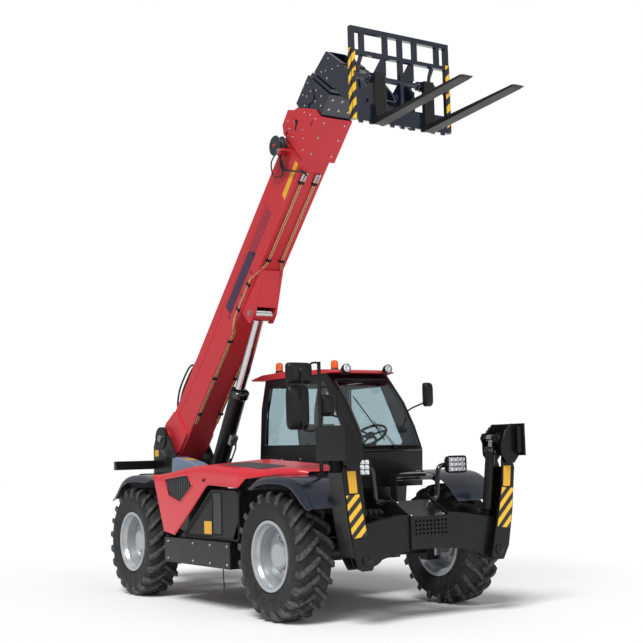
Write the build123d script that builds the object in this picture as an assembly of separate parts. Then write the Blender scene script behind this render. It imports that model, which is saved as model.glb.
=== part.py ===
"""Telehandler with a four-section boom, fork carriage and front stabilisers.

Units are millimetres. The machine faces -Y, its left side is +X and Z is up.
Every size below is given from the front axle's centre on the ground, and the
finished pieces are moved by ORIGIN_SHIFT, so that the origin of the written
files is the middle of the machine's bounding box, on the ground.
"""
from build123d import *
import math
import os

# ---------------------------------------------------------------- overall sizes
WHEEL_BASE = 3070.0
TRACK_HALF = 1000.0
TYRE_RADIUS = 610.0
TYRE_WIDTH = 400.0
RIM_RADIUS = 335.0
FRAME_INNER_HALF = 245.0
FRAME_PLATE = 25.0
FRAME_OUTER_HALF = FRAME_INNER_HALF + FRAME_PLATE
BODY_HALF = 1150.0

# ---------------------------------------------------------------- boom sizes
BOOM_ANGLE = 46.0
BOOM_PIVOT_Y = 4150.0
BOOM_PIVOT_Z = 1800.0
BOOM_WALL = 8.0
SECTION_GAP = 14.0
BOOM_HALF_WIDTH = 172.0
BOOM_TOP = 85.0
BOOM_BOTTOM = -400.0
BOOM_LENGTH = 4800.0
CARRIAGE_PIVOT_S = 5499.0
CARRIAGE_PIVOT_T = -1015.0

# ---------------------------------------------------------------- fits
RUN_GAP = 0.3
SEAT_GAP = 0.3

# ---------------------------------------------------------------- origin
FORK_TIP_Y = -2100.0
REAR_END_Y = 4450.0
ORIGIN_SHIFT = (0.0, -(FORK_TIP_Y + REAR_END_Y) / 2.0, 0.0)

COS_BOOM = math.cos(math.radians(BOOM_ANGLE))
SIN_BOOM = math.sin(math.radians(BOOM_ANGLE))


# ---------------------------------------------------------------- basic shapes
def block(x0, x1, y0, y1, z0, z1):
    """A straight block between two corners."""
    size = (x1 - x0, y1 - y0, z1 - z0)
    middle = ((x0 + x1) / 2, (y0 + y1) / 2, (z0 + z1) / 2)
    return Pos(*middle) * Box(*size)


def prism(plane, points, low, high, radius=0.0):
    """A closed outline on a plane, with round corners if asked, carried from low to high."""
    if radius:
        outline = FilletPolyline(*points, radius=radius, close=True)
    else:
        outline = Polyline(*points, close=True)
    face = make_face(outline).face()
    if face.normal_at().Z < 0:
        face = -face
    solid = extrude(face, amount=high - low)
    return plane * (Pos(0, 0, low) * solid)


SIDE = Plane(origin=(0, 0, 0), x_dir=(0, 1, 0), z_dir=(1, 0, 0))
FRONT = Plane(origin=(0, 0, 0), x_dir=(-1, 0, 0), z_dir=(0, 1, 0))
BOOM_SIDE = Plane(
    origin=(0, BOOM_PIVOT_Y, BOOM_PIVOT_Z),
    x_dir=(0, -COS_BOOM, SIN_BOOM),
    z_dir=(-1, 0, 0),
)


def side_prism(points, x0, x1, radius=0.0):
    """An outline of (y, z) points carried along X."""
    return prism(SIDE, points, x0, x1, radius)


def front_prism(points, y0, y1, radius=0.0):
    """An outline of (x, z) points carried along Y."""
    return prism(FRONT, [(-x, z) for x, z in points], y0, y1, radius)


def flat_prism(points, z0, z1, radius=0.0):
    """An outline of (x, y) points carried along Z."""
    return prism(Plane.XY, points, z0, z1, radius)


def boom_prism(points, half_low, half_high, radius=0.0):
    """An outline of (s, t) points in the boom's side plane, carried from half_low to half_high."""
    return prism(BOOM_SIDE, points, half_low, half_high, radius)


def rod_x(y, z, radius, x0, x1):
    """A round bar along X."""
    return Pos((x0 + x1) / 2, y, z) * Rot(0, 90, 0) * Cylinder(radius, x1 - x0)


def rod_y(x, z, radius, y0, y1):
    """A round bar along Y."""
    return Pos(x, (y0 + y1) / 2, z) * Rot(90, 0, 0) * Cylinder(radius, y1 - y0)


def rod_z(x, y, radius, z0, z1):
    """A round bar along Z."""
    return Pos(x, y, (z0 + z1) / 2) * Cylinder(radius, z1 - z0)


def rod_between(start, end, radius):
    """A round bar from one point to another."""
    start = Vector(*start)
    run = Vector(*end) - start
    plane = Plane(origin=start + run * 0.5, z_dir=run.normalized())
    return plane * Cylinder(radius, run.length)


def boom_point(s, t, x=0.0):
    """The place of a boom coordinate in the machine's frame."""
    y = BOOM_PIVOT_Y - COS_BOOM * s + SIN_BOOM * t
    z = BOOM_PIVOT_Z + SIN_BOOM * s + COS_BOOM * t
    return (x, y, z)


def boom_section_plane(s):
    """The plane across the boom at s, with x across and y up out of the boom's back."""
    return Plane(origin=boom_point(s, 0.0), x_dir=(1, 0, 0), z_dir=(0, -COS_BOOM, SIN_BOOM))


def fuse(pieces):
    """One shape from a list of touching ones."""
    whole = pieces[0]
    for piece in pieces[1:]:
        whole = whole + piece
    return whole


def mirrored(piece):
    """The same piece on the other side of the machine."""
    return mirror(piece, about=Plane.YZ)


NODES = {}


def keep(name, *pieces):
    """Files one or more solids under a node's name."""
    solids = []
    for piece in pieces:
        solids.extend(piece.solids())
    NODES[name] = solids


# ---------------------------------------------------------------- chassis
FRAME_TOP_Z = 955.0
FRAME_LOW_Z = 480.0
FRAME_ARCH_Z = 765.0
FRAME_FRONT_Y = -760.0
PEDESTAL_REAR_Y = 4400.0
ARCH_FRONT_Y = WHEEL_BASE - 370.0
ARCH_REAR_Y = WHEEL_BASE + 350.0
BELLY_REAR_Y = ARCH_FRONT_Y - 140.0
CROSS_WALL_Y = ARCH_REAR_Y + 280.0
PIVOT_BOSS_RADIUS = 145.0
PIVOT_PIN_RADIUS = 45.0

LIFT_FOOT_Y = 3410.0
LIFT_FOOT_Z = 950.0
LIFT_FOOT_EAR_IN = 108.0
LIFT_FOOT_EAR = 25.0

CAB_MOUNT_YS = (1000.0, 2150.0)
CAB_FLOOR_Z = 770.0
HOOD_HINGE_YS = (700.0, 2000.0)
HOOD_HINGE_X = -345.0
HOOD_HINGE_Z = 1330.0
HOOD_PIN_RADIUS = 8.0
HOOD_EAR = 15.0
TAIL_BAR_Y = (4290.0, 4370.0)
TAIL_BAR_Z = (1415.0, 1525.0)


def chassis_frame():
    """Two side plates that rise to the boom's pivot, with the plates and tubes that join them."""
    outline = [
        (FRAME_FRONT_Y, 640), (FRAME_FRONT_Y, 900), (-250, FRAME_TOP_Z), (2750, FRAME_TOP_Z),
        (3420, 1180), (3900, 1760), (4030, 1900), (4260, 1900), (PEDESTAL_REAR_Y - 30, 1700),
        (PEDESTAL_REAR_Y - 30, 720), (CROSS_WALL_Y, 520), (CROSS_WALL_Y - 140, 560),
        (ARCH_REAR_Y, FRAME_ARCH_Z), (ARCH_FRONT_Y, FRAME_ARCH_Z), (BELLY_REAR_Y, FRAME_LOW_Z),
        (520, FRAME_LOW_Z), (400, FRAME_ARCH_Z),
        (-400, FRAME_ARCH_Z), (-500, 640),
    ]
    plate = side_prism(outline, FRAME_INNER_HALF, FRAME_OUTER_HALF, radius=30)
    boss_x = (FRAME_INNER_HALF - 10, FRAME_OUTER_HALF + 12)
    boss = rod_x(BOOM_PIVOT_Y, BOOM_PIVOT_Z, PIVOT_BOSS_RADIUS, *boss_x)
    plate = plate + boss
    wide = FRAME_INNER_HALF + 2
    joining = [
        block(-wide, wide, 520, BELLY_REAR_Y, FRAME_LOW_Z, FRAME_LOW_Z + 12),
        block(-wide, wide, FRAME_FRONT_Y, FRAME_FRONT_Y + 20, 640, 890),
        block(-wide, wide, -420, 2050, FRAME_TOP_Z - 60, FRAME_TOP_Z - 48),
        block(-wide, wide, CROSS_WALL_Y, CROSS_WALL_Y + 15, 560, 1330),
        block(-wide, wide, PEDESTAL_REAR_Y - 60, PEDESTAL_REAR_Y - 40, 740, 1200),
        rod_x(700, 700, 50, -wide, wide),
        rod_x(BELLY_REAR_Y - 180, 700, 50, -wide, wide),
    ]
    ear_outline = [
        (LIFT_FOOT_Y - 75, LIFT_FOOT_Z - 60), (LIFT_FOOT_Y - 75, LIFT_FOOT_Z + 60),
        (LIFT_FOOT_Y, LIFT_FOOT_Z + 100), (CROSS_WALL_Y + 5, 1200), (CROSS_WALL_Y + 5, 760),
        (CROSS_WALL_Y - 140, 800),
    ]
    ear = side_prism(ear_outline, LIFT_FOOT_EAR_IN, LIFT_FOOT_EAR_IN + LIFT_FOOT_EAR, radius=20)
    joining.extend([ear, mirrored(ear)])
    for y in CAB_MOUNT_YS:
        joining.append(block(FRAME_OUTER_HALF - 5, 760, y - 30, y + 30, 700, CAB_FLOOR_Z - SEAT_GAP))
    for y in HOOD_HINGE_YS:
        for end in (-1, 1):
            middle = y + end * 44
            low_x, high_x = HOOD_HINGE_X - HOOD_EAR, -FRAME_OUTER_HALF + 5
            ear = block(low_x, high_x, middle - 6, middle + 6, 880, HOOD_HINGE_Z + HOOD_EAR)
            ear = ear - rod_y(HOOD_HINGE_X, HOOD_HINGE_Z, HOOD_PIN_RADIUS, middle - 10, middle + 10)
            joining.append(ear)
    frame = fuse([plate, mirrored(plate)] + joining)
    frame = frame - rod_x(BOOM_PIVOT_Y, BOOM_PIVOT_Z, PIVOT_PIN_RADIUS, -400, 400)
    low, high = TAIL_BAR_Z
    notch = block(-400, 400, TAIL_BAR_Y[0] - SEAT_GAP, TAIL_BAR_Y[1] + 50, low - SEAT_GAP, high + SEAT_GAP)
    return frame - notch


def pivot_pin():
    """The boom's hinge pin."""
    reach = FRAME_OUTER_HALF + 30
    return rod_x(BOOM_PIVOT_Y, BOOM_PIVOT_Z, PIVOT_PIN_RADIUS - 0.05, -reach, reach)


# ---------------------------------------------------------------- nose and rear
NOSE_HALF = 235.0
NOSE_FRONT_Y = -980.0
NOSE_LOW_Z = 660.0
NOSE_TOP_Z = 960.0


def nose_tray():
    """The open box ahead of the frame, with a grille of holes in its front and sloping sides."""
    rear_y = FRAME_FRONT_Y - SEAT_GAP
    sides = [
        (NOSE_FRONT_Y, NOSE_LOW_Z), (NOSE_FRONT_Y, NOSE_TOP_Z), (-800, 1050), (-640, 1150), (-560, 1150),
        (-560, 960), (rear_y, 890), (rear_y, NOSE_LOW_Z),
    ]
    wall = 12.0
    cheek = side_prism(sides, NOSE_HALF - wall, NOSE_HALF)
    floor = block(-NOSE_HALF, NOSE_HALF, NOSE_FRONT_Y, rear_y, NOSE_LOW_Z, NOSE_LOW_Z + wall)
    face = block(-NOSE_HALF, NOSE_HALF, NOSE_FRONT_Y, NOSE_FRONT_Y + wall, NOSE_LOW_Z, NOSE_TOP_Z)
    for row in range(4):
        for column in range(9):
            x = -176 + 44 * column
            z = 800 + 38 * row
            face = face - rod_y(x, z, 12, NOSE_FRONT_Y - 5, NOSE_FRONT_Y + wall + 5)
    return fuse([cheek, mirrored(cheek), floor, face])


TOW_PIN_Y = 4412.0
TOW_PIN_RADIUS = 16.0
TOW_PIN_TOP_Z = 930.0
TOW_SLOT_Z = (780.0, 850.0)


def counterweight():
    """The cast weight behind the frame."""
    half = [(400, 620), (480, 700), (480, 1300), (430, 1360)]
    outline = half + [(-x, z) for x, z in reversed(half)]
    cast = front_prism(outline, PEDESTAL_REAR_Y - 30 + SEAT_GAP, REAR_END_Y, radius=25)
    cast = cast - block(-70, 70, TOW_PIN_Y - 27, REAR_END_Y + 10, *TOW_SLOT_Z)
    return cast - rod_z(0, TOW_PIN_Y, TOW_PIN_RADIUS, 600, TOW_PIN_TOP_Z)


def tail_bar():
    """The cross bar behind the boom's pivot."""
    return block(-824, 824, *TAIL_BAR_Y, *TAIL_BAR_Z)


# ---------------------------------------------------------------- axles and wheels
AXLE_Z = TYRE_RADIUS
KINGPIN_X = 790.0
KINGPIN_RADIUS = 32.0
YOKE_HEIGHT = 135.0
HUB_RADIUS = 138.0


def axle(y):
    """A rigid drive axle: centre housing, straight arms and an open yoke at each end."""
    centre = Pos(0, y, AXLE_Z - 50) * Sphere(130)
    arms = rod_x(y, AXLE_Z, 88, -650, 650)
    pad_z = FRAME_ARCH_Z - SEAT_GAP
    pads = [block(x - 70, x + 70, y - 110, y + 110, AXLE_Z + 60, pad_z) for x in (-258, 258)]
    yokes = []
    for side in (-1, 1):
        x = side * KINGPIN_X
        inner, outer = sorted((side * 640, side * 740))
        pieces = [block(inner, outer, y - 80, y + 80, AXLE_Z - 130, AXLE_Z + 130)]
        inner, outer = sorted((side * 660, x))
        for end in (-1, 1):
            z = AXLE_Z + end * YOKE_HEIGHT
            pieces.append(block(inner, outer, y - 62, y + 62, z - 20, z + 20))
            pieces.append(rod_z(x, y, 62, z - 20, z + 20))
        relief = rod_z(x, y, 92, AXLE_Z - YOKE_HEIGHT + 20, AXLE_Z + YOKE_HEIGHT - 20)
        yokes.append(fuse(pieces) - relief - rod_z(x, y, KINGPIN_RADIUS, AXLE_Z - 300, AXLE_Z + 300))
    return fuse([centre, arms] + pads + yokes)


SPINDLE_END_X = TRACK_HALF - 70.0
SPINDLE_RADIUS = 59.95
HUB_BORE = 60.0


def knuckle(side, y):
    """The steered hub carrier, turning on its kingpins inside the yoke."""
    x = side * KINGPIN_X
    inside = YOKE_HEIGHT - 20 - 1.0
    barrel = rod_z(x, y, 78, AXLE_Z - inside, AXLE_Z + inside)
    pins = rod_z(x, y, KINGPIN_RADIUS - 0.05, AXLE_Z - YOKE_HEIGHT - 20, AXLE_Z + YOKE_HEIGHT + 20)
    spindle = rod_x(y, AXLE_Z, 95, *sorted((x + side * 30, side * SPINDLE_END_X)))
    stub = rod_x(y, AXLE_Z, SPINDLE_RADIUS, *sorted((x, side * (SPINDLE_END_X + 60))))
    arm_outline = [(x + side * out, y + back) for out, back in ((-26, 30), (30, 30), (86, 150), (34, 150))]
    arm = flat_prism(arm_outline, AXLE_Z - 60, AXLE_Z - 30)
    return fuse([barrel, pins, spindle, stub, arm])


def turned(profile):
    """A ring turned about the X axis from (radius, x) points."""
    face = make_face(Polyline(*profile, close=True)).face()
    ring = revolve(face, axis=Axis.Y, revolution_arc=360)
    return Rot(0, 0, -90) * ring


def tyre(side, y):
    """A plain tyre body at the outline of its lugs."""
    half = TYRE_WIDTH / 2
    bead = RIM_RADIUS
    right = [
        (bead - 22.7, 148), (bead + 1, 155), (bead + 10, 176), (450, half), (545, half - 8),
        (588, half - 45), (TYRE_RADIUS, half - 110),
    ]
    left = [(radius, -x) for radius, x in reversed(right)]
    return Pos(side * TRACK_HALF, y, AXLE_Z) * turned(right + left)


WHEEL_BOLTS = 10
WHEEL_BOLT_CIRCLE = 335.0
WHEEL_BOLT_RADIUS = 11.0


def rim(side, y):
    """A dished steel rim with the planetary hub that it is bolted to."""
    edge = RIM_RADIUS
    profile = [
        (edge - 23, -149), (edge - 2, -156), (edge - 2, -172), (edge - 30, -172), (edge - 45, -140),
        (edge - 70, -120), (edge - 75, -10), (210, 10), (HUB_RADIUS, 10), (HUB_RADIUS, -60),
        (HUB_BORE, -60), (HUB_BORE, 60), (70, 82), (108, 82), (HUB_RADIUS - 8, 62), (HUB_RADIUS, 26),
        (215, 26), (edge - 65, 8), (edge - 58, 110), (edge - 40, 140), (edge - 30, 172), (edge - 2, 172),
        (edge - 2, 156), (edge - 23, 149),
    ]
    profile = [(radius, side * x) for radius, x in profile]
    cap = rod_x(0, 0, 75, *sorted((side * 40, side * 82)))
    ring = turned(profile) + cap
    for index in range(WHEEL_BOLTS):
        turn = 2 * math.pi * index / WHEEL_BOLTS
        y_bolt = WHEEL_BOLT_CIRCLE / 2 * math.cos(turn)
        z_bolt = WHEEL_BOLT_CIRCLE / 2 * math.sin(turn)
        ring = ring - rod_x(y_bolt, z_bolt, WHEEL_BOLT_RADIUS, -20, 40)
    return Pos(side * TRACK_HALF, y, AXLE_Z) * ring


# ---------------------------------------------------------------- bodywork
HOOD_INNER_X = -380.0
HOOD_WALL = 8.0


SIDE_BOX_TOP_Z = 700.0


def engine_block():
    """The engine's mass beside the frame, as one block."""
    return block(-960, -420, 950, 2050, SIDE_BOX_TOP_Z + SEAT_GAP, 1200)


def side_box():
    """The box below the hood between the wheels, on brackets from the frame."""
    inner_x = -FRAME_OUTER_HALF - SEAT_GAP
    box = block(-BODY_HALF, -640, 800, 2270, 432, SIDE_BOX_TOP_Z)
    brackets = [block(-645, inner_x, y - 20, y + 20, 560, 640) for y in (920, 2100)]
    shelf = block(-645, inner_x, 930, 2090, 612, 620)
    return fuse([box, shelf] + brackets)


def step_tank():
    """The tank below the cab, with two steps cut into its outer side."""
    inner_x = FRAME_OUTER_HALF + SEAT_GAP
    tank = block(620, 1090, 960, 2240, 400, 690)
    for low in (440, 570):
        tank = tank - block(960, 1100, 1350, 1750, low, low + 100)
    brackets = [block(inner_x, 625, y - 20, y + 20, 560, 640) for y in (1020, 2180)]
    return fuse([tank] + brackets)


HOOD_OUTLINE = [
    (-180, 1364), (-180, 1386), (300, 1440), (900, 1490), (1404, 1513), (2000, 1465), (2542, 1367),
    (2278, 758), (2010, 725), (1600, 1010), (1257, 1265), (620, 1240), (504, 1330), (100, 1366),
]
HOOD_INSIDE = [
    (-172, 1300), (-172, 1378), (300, 1430), (900, 1480), (1404, 1503), (2000, 1455), (2530, 1358),
    (2268, 700), (1900, 600), (100, 600),
]
HOOD_PLAN = [(-1150, 2560), (-1150, 620), (-1080, 300), (-950, 0), (-800, -180), (-300, -180), (-300, 2560)]
HOOD_PLAN_INSIDE = [
    (-1142, 2600), (-1142, 622), (-1072, 303), (-944, 6), (-796, -172), (-330, -172), (-330, 2600),
]
HOOD_WINDOW = [(2238, 1324), (1706, 1368), (1594, 1253), (1880, 1080), (2168, 1150)]


def hood():
    """The red engine hood: a shell open below, with hinge knuckles on its inner flange."""
    beyond = -BODY_HALF - 20
    outer = side_prism(HOOD_OUTLINE, beyond, HOOD_INNER_X) & flat_prism(HOOD_PLAN, 500, 1700)
    inner = side_prism(HOOD_INSIDE, beyond, HOOD_INNER_X + 50) & flat_prism(HOOD_PLAN_INSIDE, 400, 1800)
    opening = side_prism(HOOD_WINDOW, beyond, -BODY_HALF + 60, radius=18)
    shell = outer - inner - opening
    flange_outline = [(300, 1300), (300, 1432), (900, 1482), (1404, 1505), (2000, 1457), (2450, 1300)]
    pieces = [shell, side_prism(flange_outline, HOOD_INNER_X - 1, HOOD_INNER_X + HOOD_WALL)]
    for y in HOOD_HINGE_YS:
        leaf_z = (HOOD_HINGE_Z - 10, HOOD_HINGE_Z + 10)
        pieces.append(block(HOOD_INNER_X, HOOD_HINGE_X, y - 30, y + 30, *leaf_z))
        pieces.append(rod_y(HOOD_HINGE_X, HOOD_HINGE_Z, 14, y - 30, y + 30))
        pieces.append(rod_y(HOOD_HINGE_X, HOOD_HINGE_Z, HOOD_PIN_RADIUS - 0.05, y - 55, y + 55))
    return fuse(pieces)


def side_panel():
    """The black service panel below the hood's red sweep, standing on the side box."""
    low_z = SIDE_BOX_TOP_Z + SEAT_GAP
    outline = [
        (640, 1205), (1250, 1225), (1570, 985), (1960, 712), (1960, low_z), (820, low_z), (700, 900),
    ]
    return side_prism(outline, -BODY_HALF + 40, -BODY_HALF + 52)


FENDER_INNER_X = 560.0
FRONT_FENDER = [
    (-700, 1066), (-330, 1335), (-40, 1359), (300, 1330), (420, 1262), (406, 1242), (290, 1302),
    (-40, 1330), (-318, 1306), (-684, 1042),
]
REAR_FENDER = [
    (-455, 1345), (-330, 1352), (-40, 1365), (300, 1335), (600, 1085), (586, 1062), (285, 1306),
    (-40, 1336), (-330, 1323), (-455, 1316),
]


def fender(side, y, outline):
    """A mudguard over one wheel: a bent sheet on a bracket from the frame."""
    sheet_outline = [(y + along, z) for along, z in outline]
    sheet = side_prism(sheet_outline, *sorted((side * FENDER_INNER_X, side * BODY_HALF)), radius=5)
    near = FRAME_OUTER_HALF + SEAT_GAP
    post = block(*sorted((side * near, side * (near + 20))), y - 90, y + 10, 860, 1322)
    arm = block(*sorted((side * near, side * (FENDER_INNER_X + 60))), y - 90, y + 10, 1300, 1332)
    return fuse([sheet, post, arm])


# ---------------------------------------------------------------- cab
CAB_INNER_X = 275.0
CAB_OUTER_X = 1085.0
CAB_WALL = 45.0
CAB_PROFILE = [
    (520, 1190), (500, 1580), (620, 1830), (800, 2100), (1020, 2330), (1120, 2430), (2430, 2430),
    (2540, 2090), (2590, 1520), (2560, 1300), (2330, 1020), (2290, 770), (860, 770), (800, 1190),
]
CAB_INSIDE = [
    (560, 1240), (545, 1590), (660, 1810), (840, 2070), (1050, 2290), (1140, 2385), (2390, 2385),
    (2495, 2080), (2545, 1520), (2515, 1320), (2285, 1040), (2245, 815), (905, 815), (850, 1240),
]


def cab_shell():
    """The hollow cab: tub, posts and roof rails, with every window and the door opening cut."""
    body = side_prism(CAB_PROFILE, CAB_INNER_X, CAB_OUTER_X)
    room = side_prism(CAB_INSIDE, CAB_INNER_X + CAB_WALL, CAB_OUTER_X - CAB_WALL)
    body = body - room
    side_window = [(720, 1640), (1180, 2350), (2330, 2350), (2430, 2060), (2470, 1660)]
    body = body - side_prism(side_window, CAB_INNER_X - 10, CAB_INNER_X + CAB_WALL + 10, radius=30)
    door_hole = [
        (700, 1580), (760, 1700), (1160, 2360), (1900, 2360), (1900, 1000), (1000, 880), (1000, 1560),
    ]
    body = body - side_prism(door_hole, CAB_OUTER_X - CAB_WALL - 10, CAB_OUTER_X + 10, radius=30)
    rear_side = [(1990, 1640), (1990, 2350), (2330, 2350), (2430, 2060), (2470, 1660)]
    body = body - side_prism(rear_side, CAB_OUTER_X - CAB_WALL - 10, CAB_OUTER_X + 10, radius=25)
    front_hole = block(CAB_INNER_X + 50, CAB_OUTER_X - 50, 400, 1080, 1620, 2370)
    body = body - front_hole
    rear_hole = block(CAB_INNER_X + 60, CAB_OUTER_X - 60, 2300, 2700, 1640, 2340)
    body = body - rear_hole
    roof_hole = block(CAB_INNER_X + 60, CAB_OUTER_X - 60, 1200, 2300, 2370, 2500)
    return body - roof_hole


def cab_roof():
    """The red roof with its rear visor."""
    outline = [
        (985, 2430.3), (990, 2446), (1150, 2478), (2040, 2510), (2500, 2500), (2740, 2462), (2730, 2440),
        (2430, 2430.3),
    ]
    return side_prism(outline, CAB_INNER_X - 15, CAB_OUTER_X + 15)


GLASS = 6.0


def cab_glass():
    """The windscreen, the right and rear quarter panes and the rear pane, each held in its opening."""
    front = [(502, 1622), (622, 1832), (802, 2102), (1021, 2331), (1055, 2366)]
    back = [(y + GLASS * 0.8, z - GLASS * 0.55) for y, z in reversed(front)]
    screen = side_prism(front + back, CAB_INNER_X + 50.3, CAB_OUTER_X - 50.3)
    side_window = [(723, 1640.4), (1182, 2347), (2328, 2347), (2427, 2059), (2467, 1660.4)]
    right = side_prism(side_window, CAB_INNER_X + 15, CAB_INNER_X + 15 + GLASS, radius=28)
    rear_side = [(1993, 1640.5), (1993, 2347), (2328, 2347), (2427, 2059), (2467, 1660.4)]
    quarter = side_prism(rear_side, CAB_OUTER_X - 21, CAB_OUTER_X - 15, radius=23)
    rear_outline = [(2500, 1643), (2440, 2337), (2446, 2337), (2506, 1643)]
    rear = side_prism(rear_outline, CAB_INNER_X + 60.3, CAB_OUTER_X - 60.3)
    return [screen, right, quarter, rear]


DOOR_HINGE_Y = 1900.0
DOOR_HINGE_X = CAB_OUTER_X + 10.0


def cab_door():
    """The left door's frame with its window cut."""
    outline = [
        (712, 1588), (768, 1696), (1164, 2353), (1892, 2353), (1892, 1008), (1008, 889), (1008, 1568),
    ]
    frame = side_prism(outline, CAB_OUTER_X - CAB_WALL + 2, CAB_OUTER_X + 4, radius=26)
    window = [(790, 1640), (1190, 2300), (1840, 2300), (1840, 1300), (1080, 1300), (1060, 1600)]
    frame = frame - side_prism(window, CAB_OUTER_X - CAB_WALL - 20, CAB_OUTER_X + 20, radius=30)
    knuckles = [rod_z(DOOR_HINGE_X, DOOR_HINGE_Y, 9.7, z - 40, z + 40) for z in (1200, 2050)]
    leaf_y = (DOOR_HINGE_Y - 50, DOOR_HINGE_Y - 4)
    leaves = [block(CAB_OUTER_X - 2, CAB_OUTER_X + 6, *leaf_y, z - 30, z + 30) for z in (1200, 2050)]
    return fuse([frame] + knuckles + leaves)


def door_glass():
    """The door's pane."""
    window = [(793, 1643), (1192, 2297), (1837, 2297), (1837, 1300.3), (1083, 1300.3), (1063, 1603)]
    return side_prism(window, CAB_OUTER_X - 22, CAB_OUTER_X - 16, radius=28)


def seat():
    """The driver's seat on its box."""
    base = block(560, 860, 1500, 1900, 815.3, 1180)
    cushion = block(470, 950, 1400, 1900, 1180, 1300)
    back = side_prism([(1860, 1250), (1980, 1260), (2080, 1900), (1990, 1900)], 480, 940, radius=20)
    return fuse([base, cushion, back])


def steering_console():
    """The dashboard, column and steering wheel."""
    outline = [(915, 815.3), (872, 1250), (872, 1500), (1000, 1520), (1080, 1400), (990, 815.3)]
    console = side_prism(outline, 520, 860, radius=10)
    column = rod_between((690, 960, 1430), (690, 1100, 1635), 26)
    wheel = Plane(origin=(690, 1100, 1635), z_dir=(0, 0.56, 0.83)) * Torus(180, 16)
    spoke = rod_between((515, 1100, 1635), (865, 1100, 1635), 12)
    return fuse([console, column, wheel, spoke])


# ---------------------------------------------------------------- small equipment
def mirror_right():
    """The flat post at the hood's front corner with its three mirror heads."""
    pieces = [
        block(-745, -733, -300, -250, 1366, 2430),
        block(-790, -700, -310, -240, 1343, 1372),
        block(-1000, -733, -285, -265, 2330, 2350),
        block(-1000, -733, -285, -265, 2150, 2170),
        block(-1090, -900, -275, -225, 2290, 2420),
        block(-1090, -900, -275, -225, 1950, 2270),
        block(-735, -600, -285, -265, 2080, 2100),
        block(-680, -560, -275, -225, 1990, 2130),
    ]
    return fuse(pieces)


def mirror_left():
    """The cab's left mirror on its arm from the front post."""
    foot = block(CAB_OUTER_X + SEAT_GAP, CAB_OUTER_X + 14, 745, 800, 1950, 2010)
    arm = rod_between((CAB_OUTER_X + 12, 770, 1980), (1130, 450, 2060), 9)
    head = block(1075, 1195, 415, 460, 2035, 2295)
    return fuse([foot, arm, head])


def headlamps():
    """The two front lamps on posts from the nose."""
    lamps = []
    for side in (-1, 1):
        post = rod_between((side * 258, -620, 1080), (side * 370, -620, 1400), 18)
        root = rod_between((side * 235.3, -620, 1082), (side * 268, -620, 1082), 22)
        arm = rod_between((side * 366, -620, 1395), (side * 560, -620, 1395), 16)
        lamp = block(side * 580 - 120, side * 580 + 120, -690, -600, 1335, 1505)
        lamps.append(fuse([post, root, arm, lamp]))
    return lamps


def roof_lamps():
    """Two beacons on the cab roof and two work lamps on its front edge."""
    pieces = []
    for x, y, z in ((330, 2200, 2508), (640, 1500, 2491)):
        pieces.append(rod_z(x, y, 45, z, z + 125) - cab_roof())
    for x in (420, 940):
        stem = block(x - 20, x + 20, 970, 985.9, 2434, 2444)
        lamp = rod_y(x, 2470, 58, 895, 975)
        pieces.append(stem + lamp)
    return pieces


# ---------------------------------------------------------------- boom
def tube_outline(steps, wall_in=0.0):
    """The (x, t) outline of a boom section, so many steps in from the outer one."""
    inset = steps * (BOOM_WALL + SECTION_GAP) + wall_in
    half = BOOM_HALF_WIDTH - inset
    top = BOOM_TOP - inset
    bottom = BOOM_BOTTOM + inset
    corner = 12.0
    return [
        (-half, bottom + corner), (-half, top - corner), (-half + corner, top), (half - corner, top),
        (half, top - corner), (half, bottom + corner), (half - corner, bottom), (-half + corner, bottom),
    ]


def along_boom(outline, s0, s1):
    """An (x, t) outline carried along the boom from s0 to s1."""
    face = make_face(Polyline(*outline, close=True)).face()
    if face.normal_at().Z < 0:
        face = -face
    return boom_section_plane(s0) * extrude(face, amount=s1 - s0)


def boom_tube(steps, s0, s1):
    """A hollow boom section."""
    outside = along_boom(tube_outline(steps), s0, s1)
    inside = along_boom(tube_outline(steps, BOOM_WALL), s0 - 10, s1 + 10)
    return outside - inside


def pads(steps, s0):
    """Wear pads at a section's rear end that slide on the section outside it."""
    inset = steps * (BOOM_WALL + SECTION_GAP)
    half = BOOM_HALF_WIDTH - inset
    top = BOOM_TOP - inset
    bottom = BOOM_BOTTOM + inset
    reach = SECTION_GAP - RUN_GAP
    plane = boom_section_plane(s0)
    pieces = []
    for x0, x1, t0, t1 in (
        (half - 1, half + reach, bottom + 150, top - 150),
        (-half - reach, -half + 1, bottom + 150, top - 150),
        (-half + 60, half - 60, top - 1, top + reach),
        (-half + 60, half - 60, bottom - reach, bottom + 1),
    ):
        pad = Pos((x0 + x1) / 2, (t0 + t1) / 2, 60) * Box(x1 - x0, t1 - t0, 120)
        pieces.append(plane * pad)
    return pieces


LIFT_PIN_S = 2452.0
LIFT_PIN_T = -550.0
LIFT_EAR_IN = 122.0
LIFT_EAR = 28.0
COLLAR_HALF = 205.0
COLLAR_WALL = 15.0
COLLAR_BACK_S = BOOM_LENGTH - 357.0
COLLAR_SIDE = [
    (COLLAR_BACK_S, -435), (COLLAR_BACK_S, 83), (BOOM_LENGTH - 294, 175), (BOOM_LENGTH - 106, 187),
    (BOOM_LENGTH - 41, 70), (BOOM_LENGTH + 6, 33), (BOOM_LENGTH + 175, -290), (BOOM_LENGTH + 165, -435),
]


LIFT_PIN_RADIUS = 38.0


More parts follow.
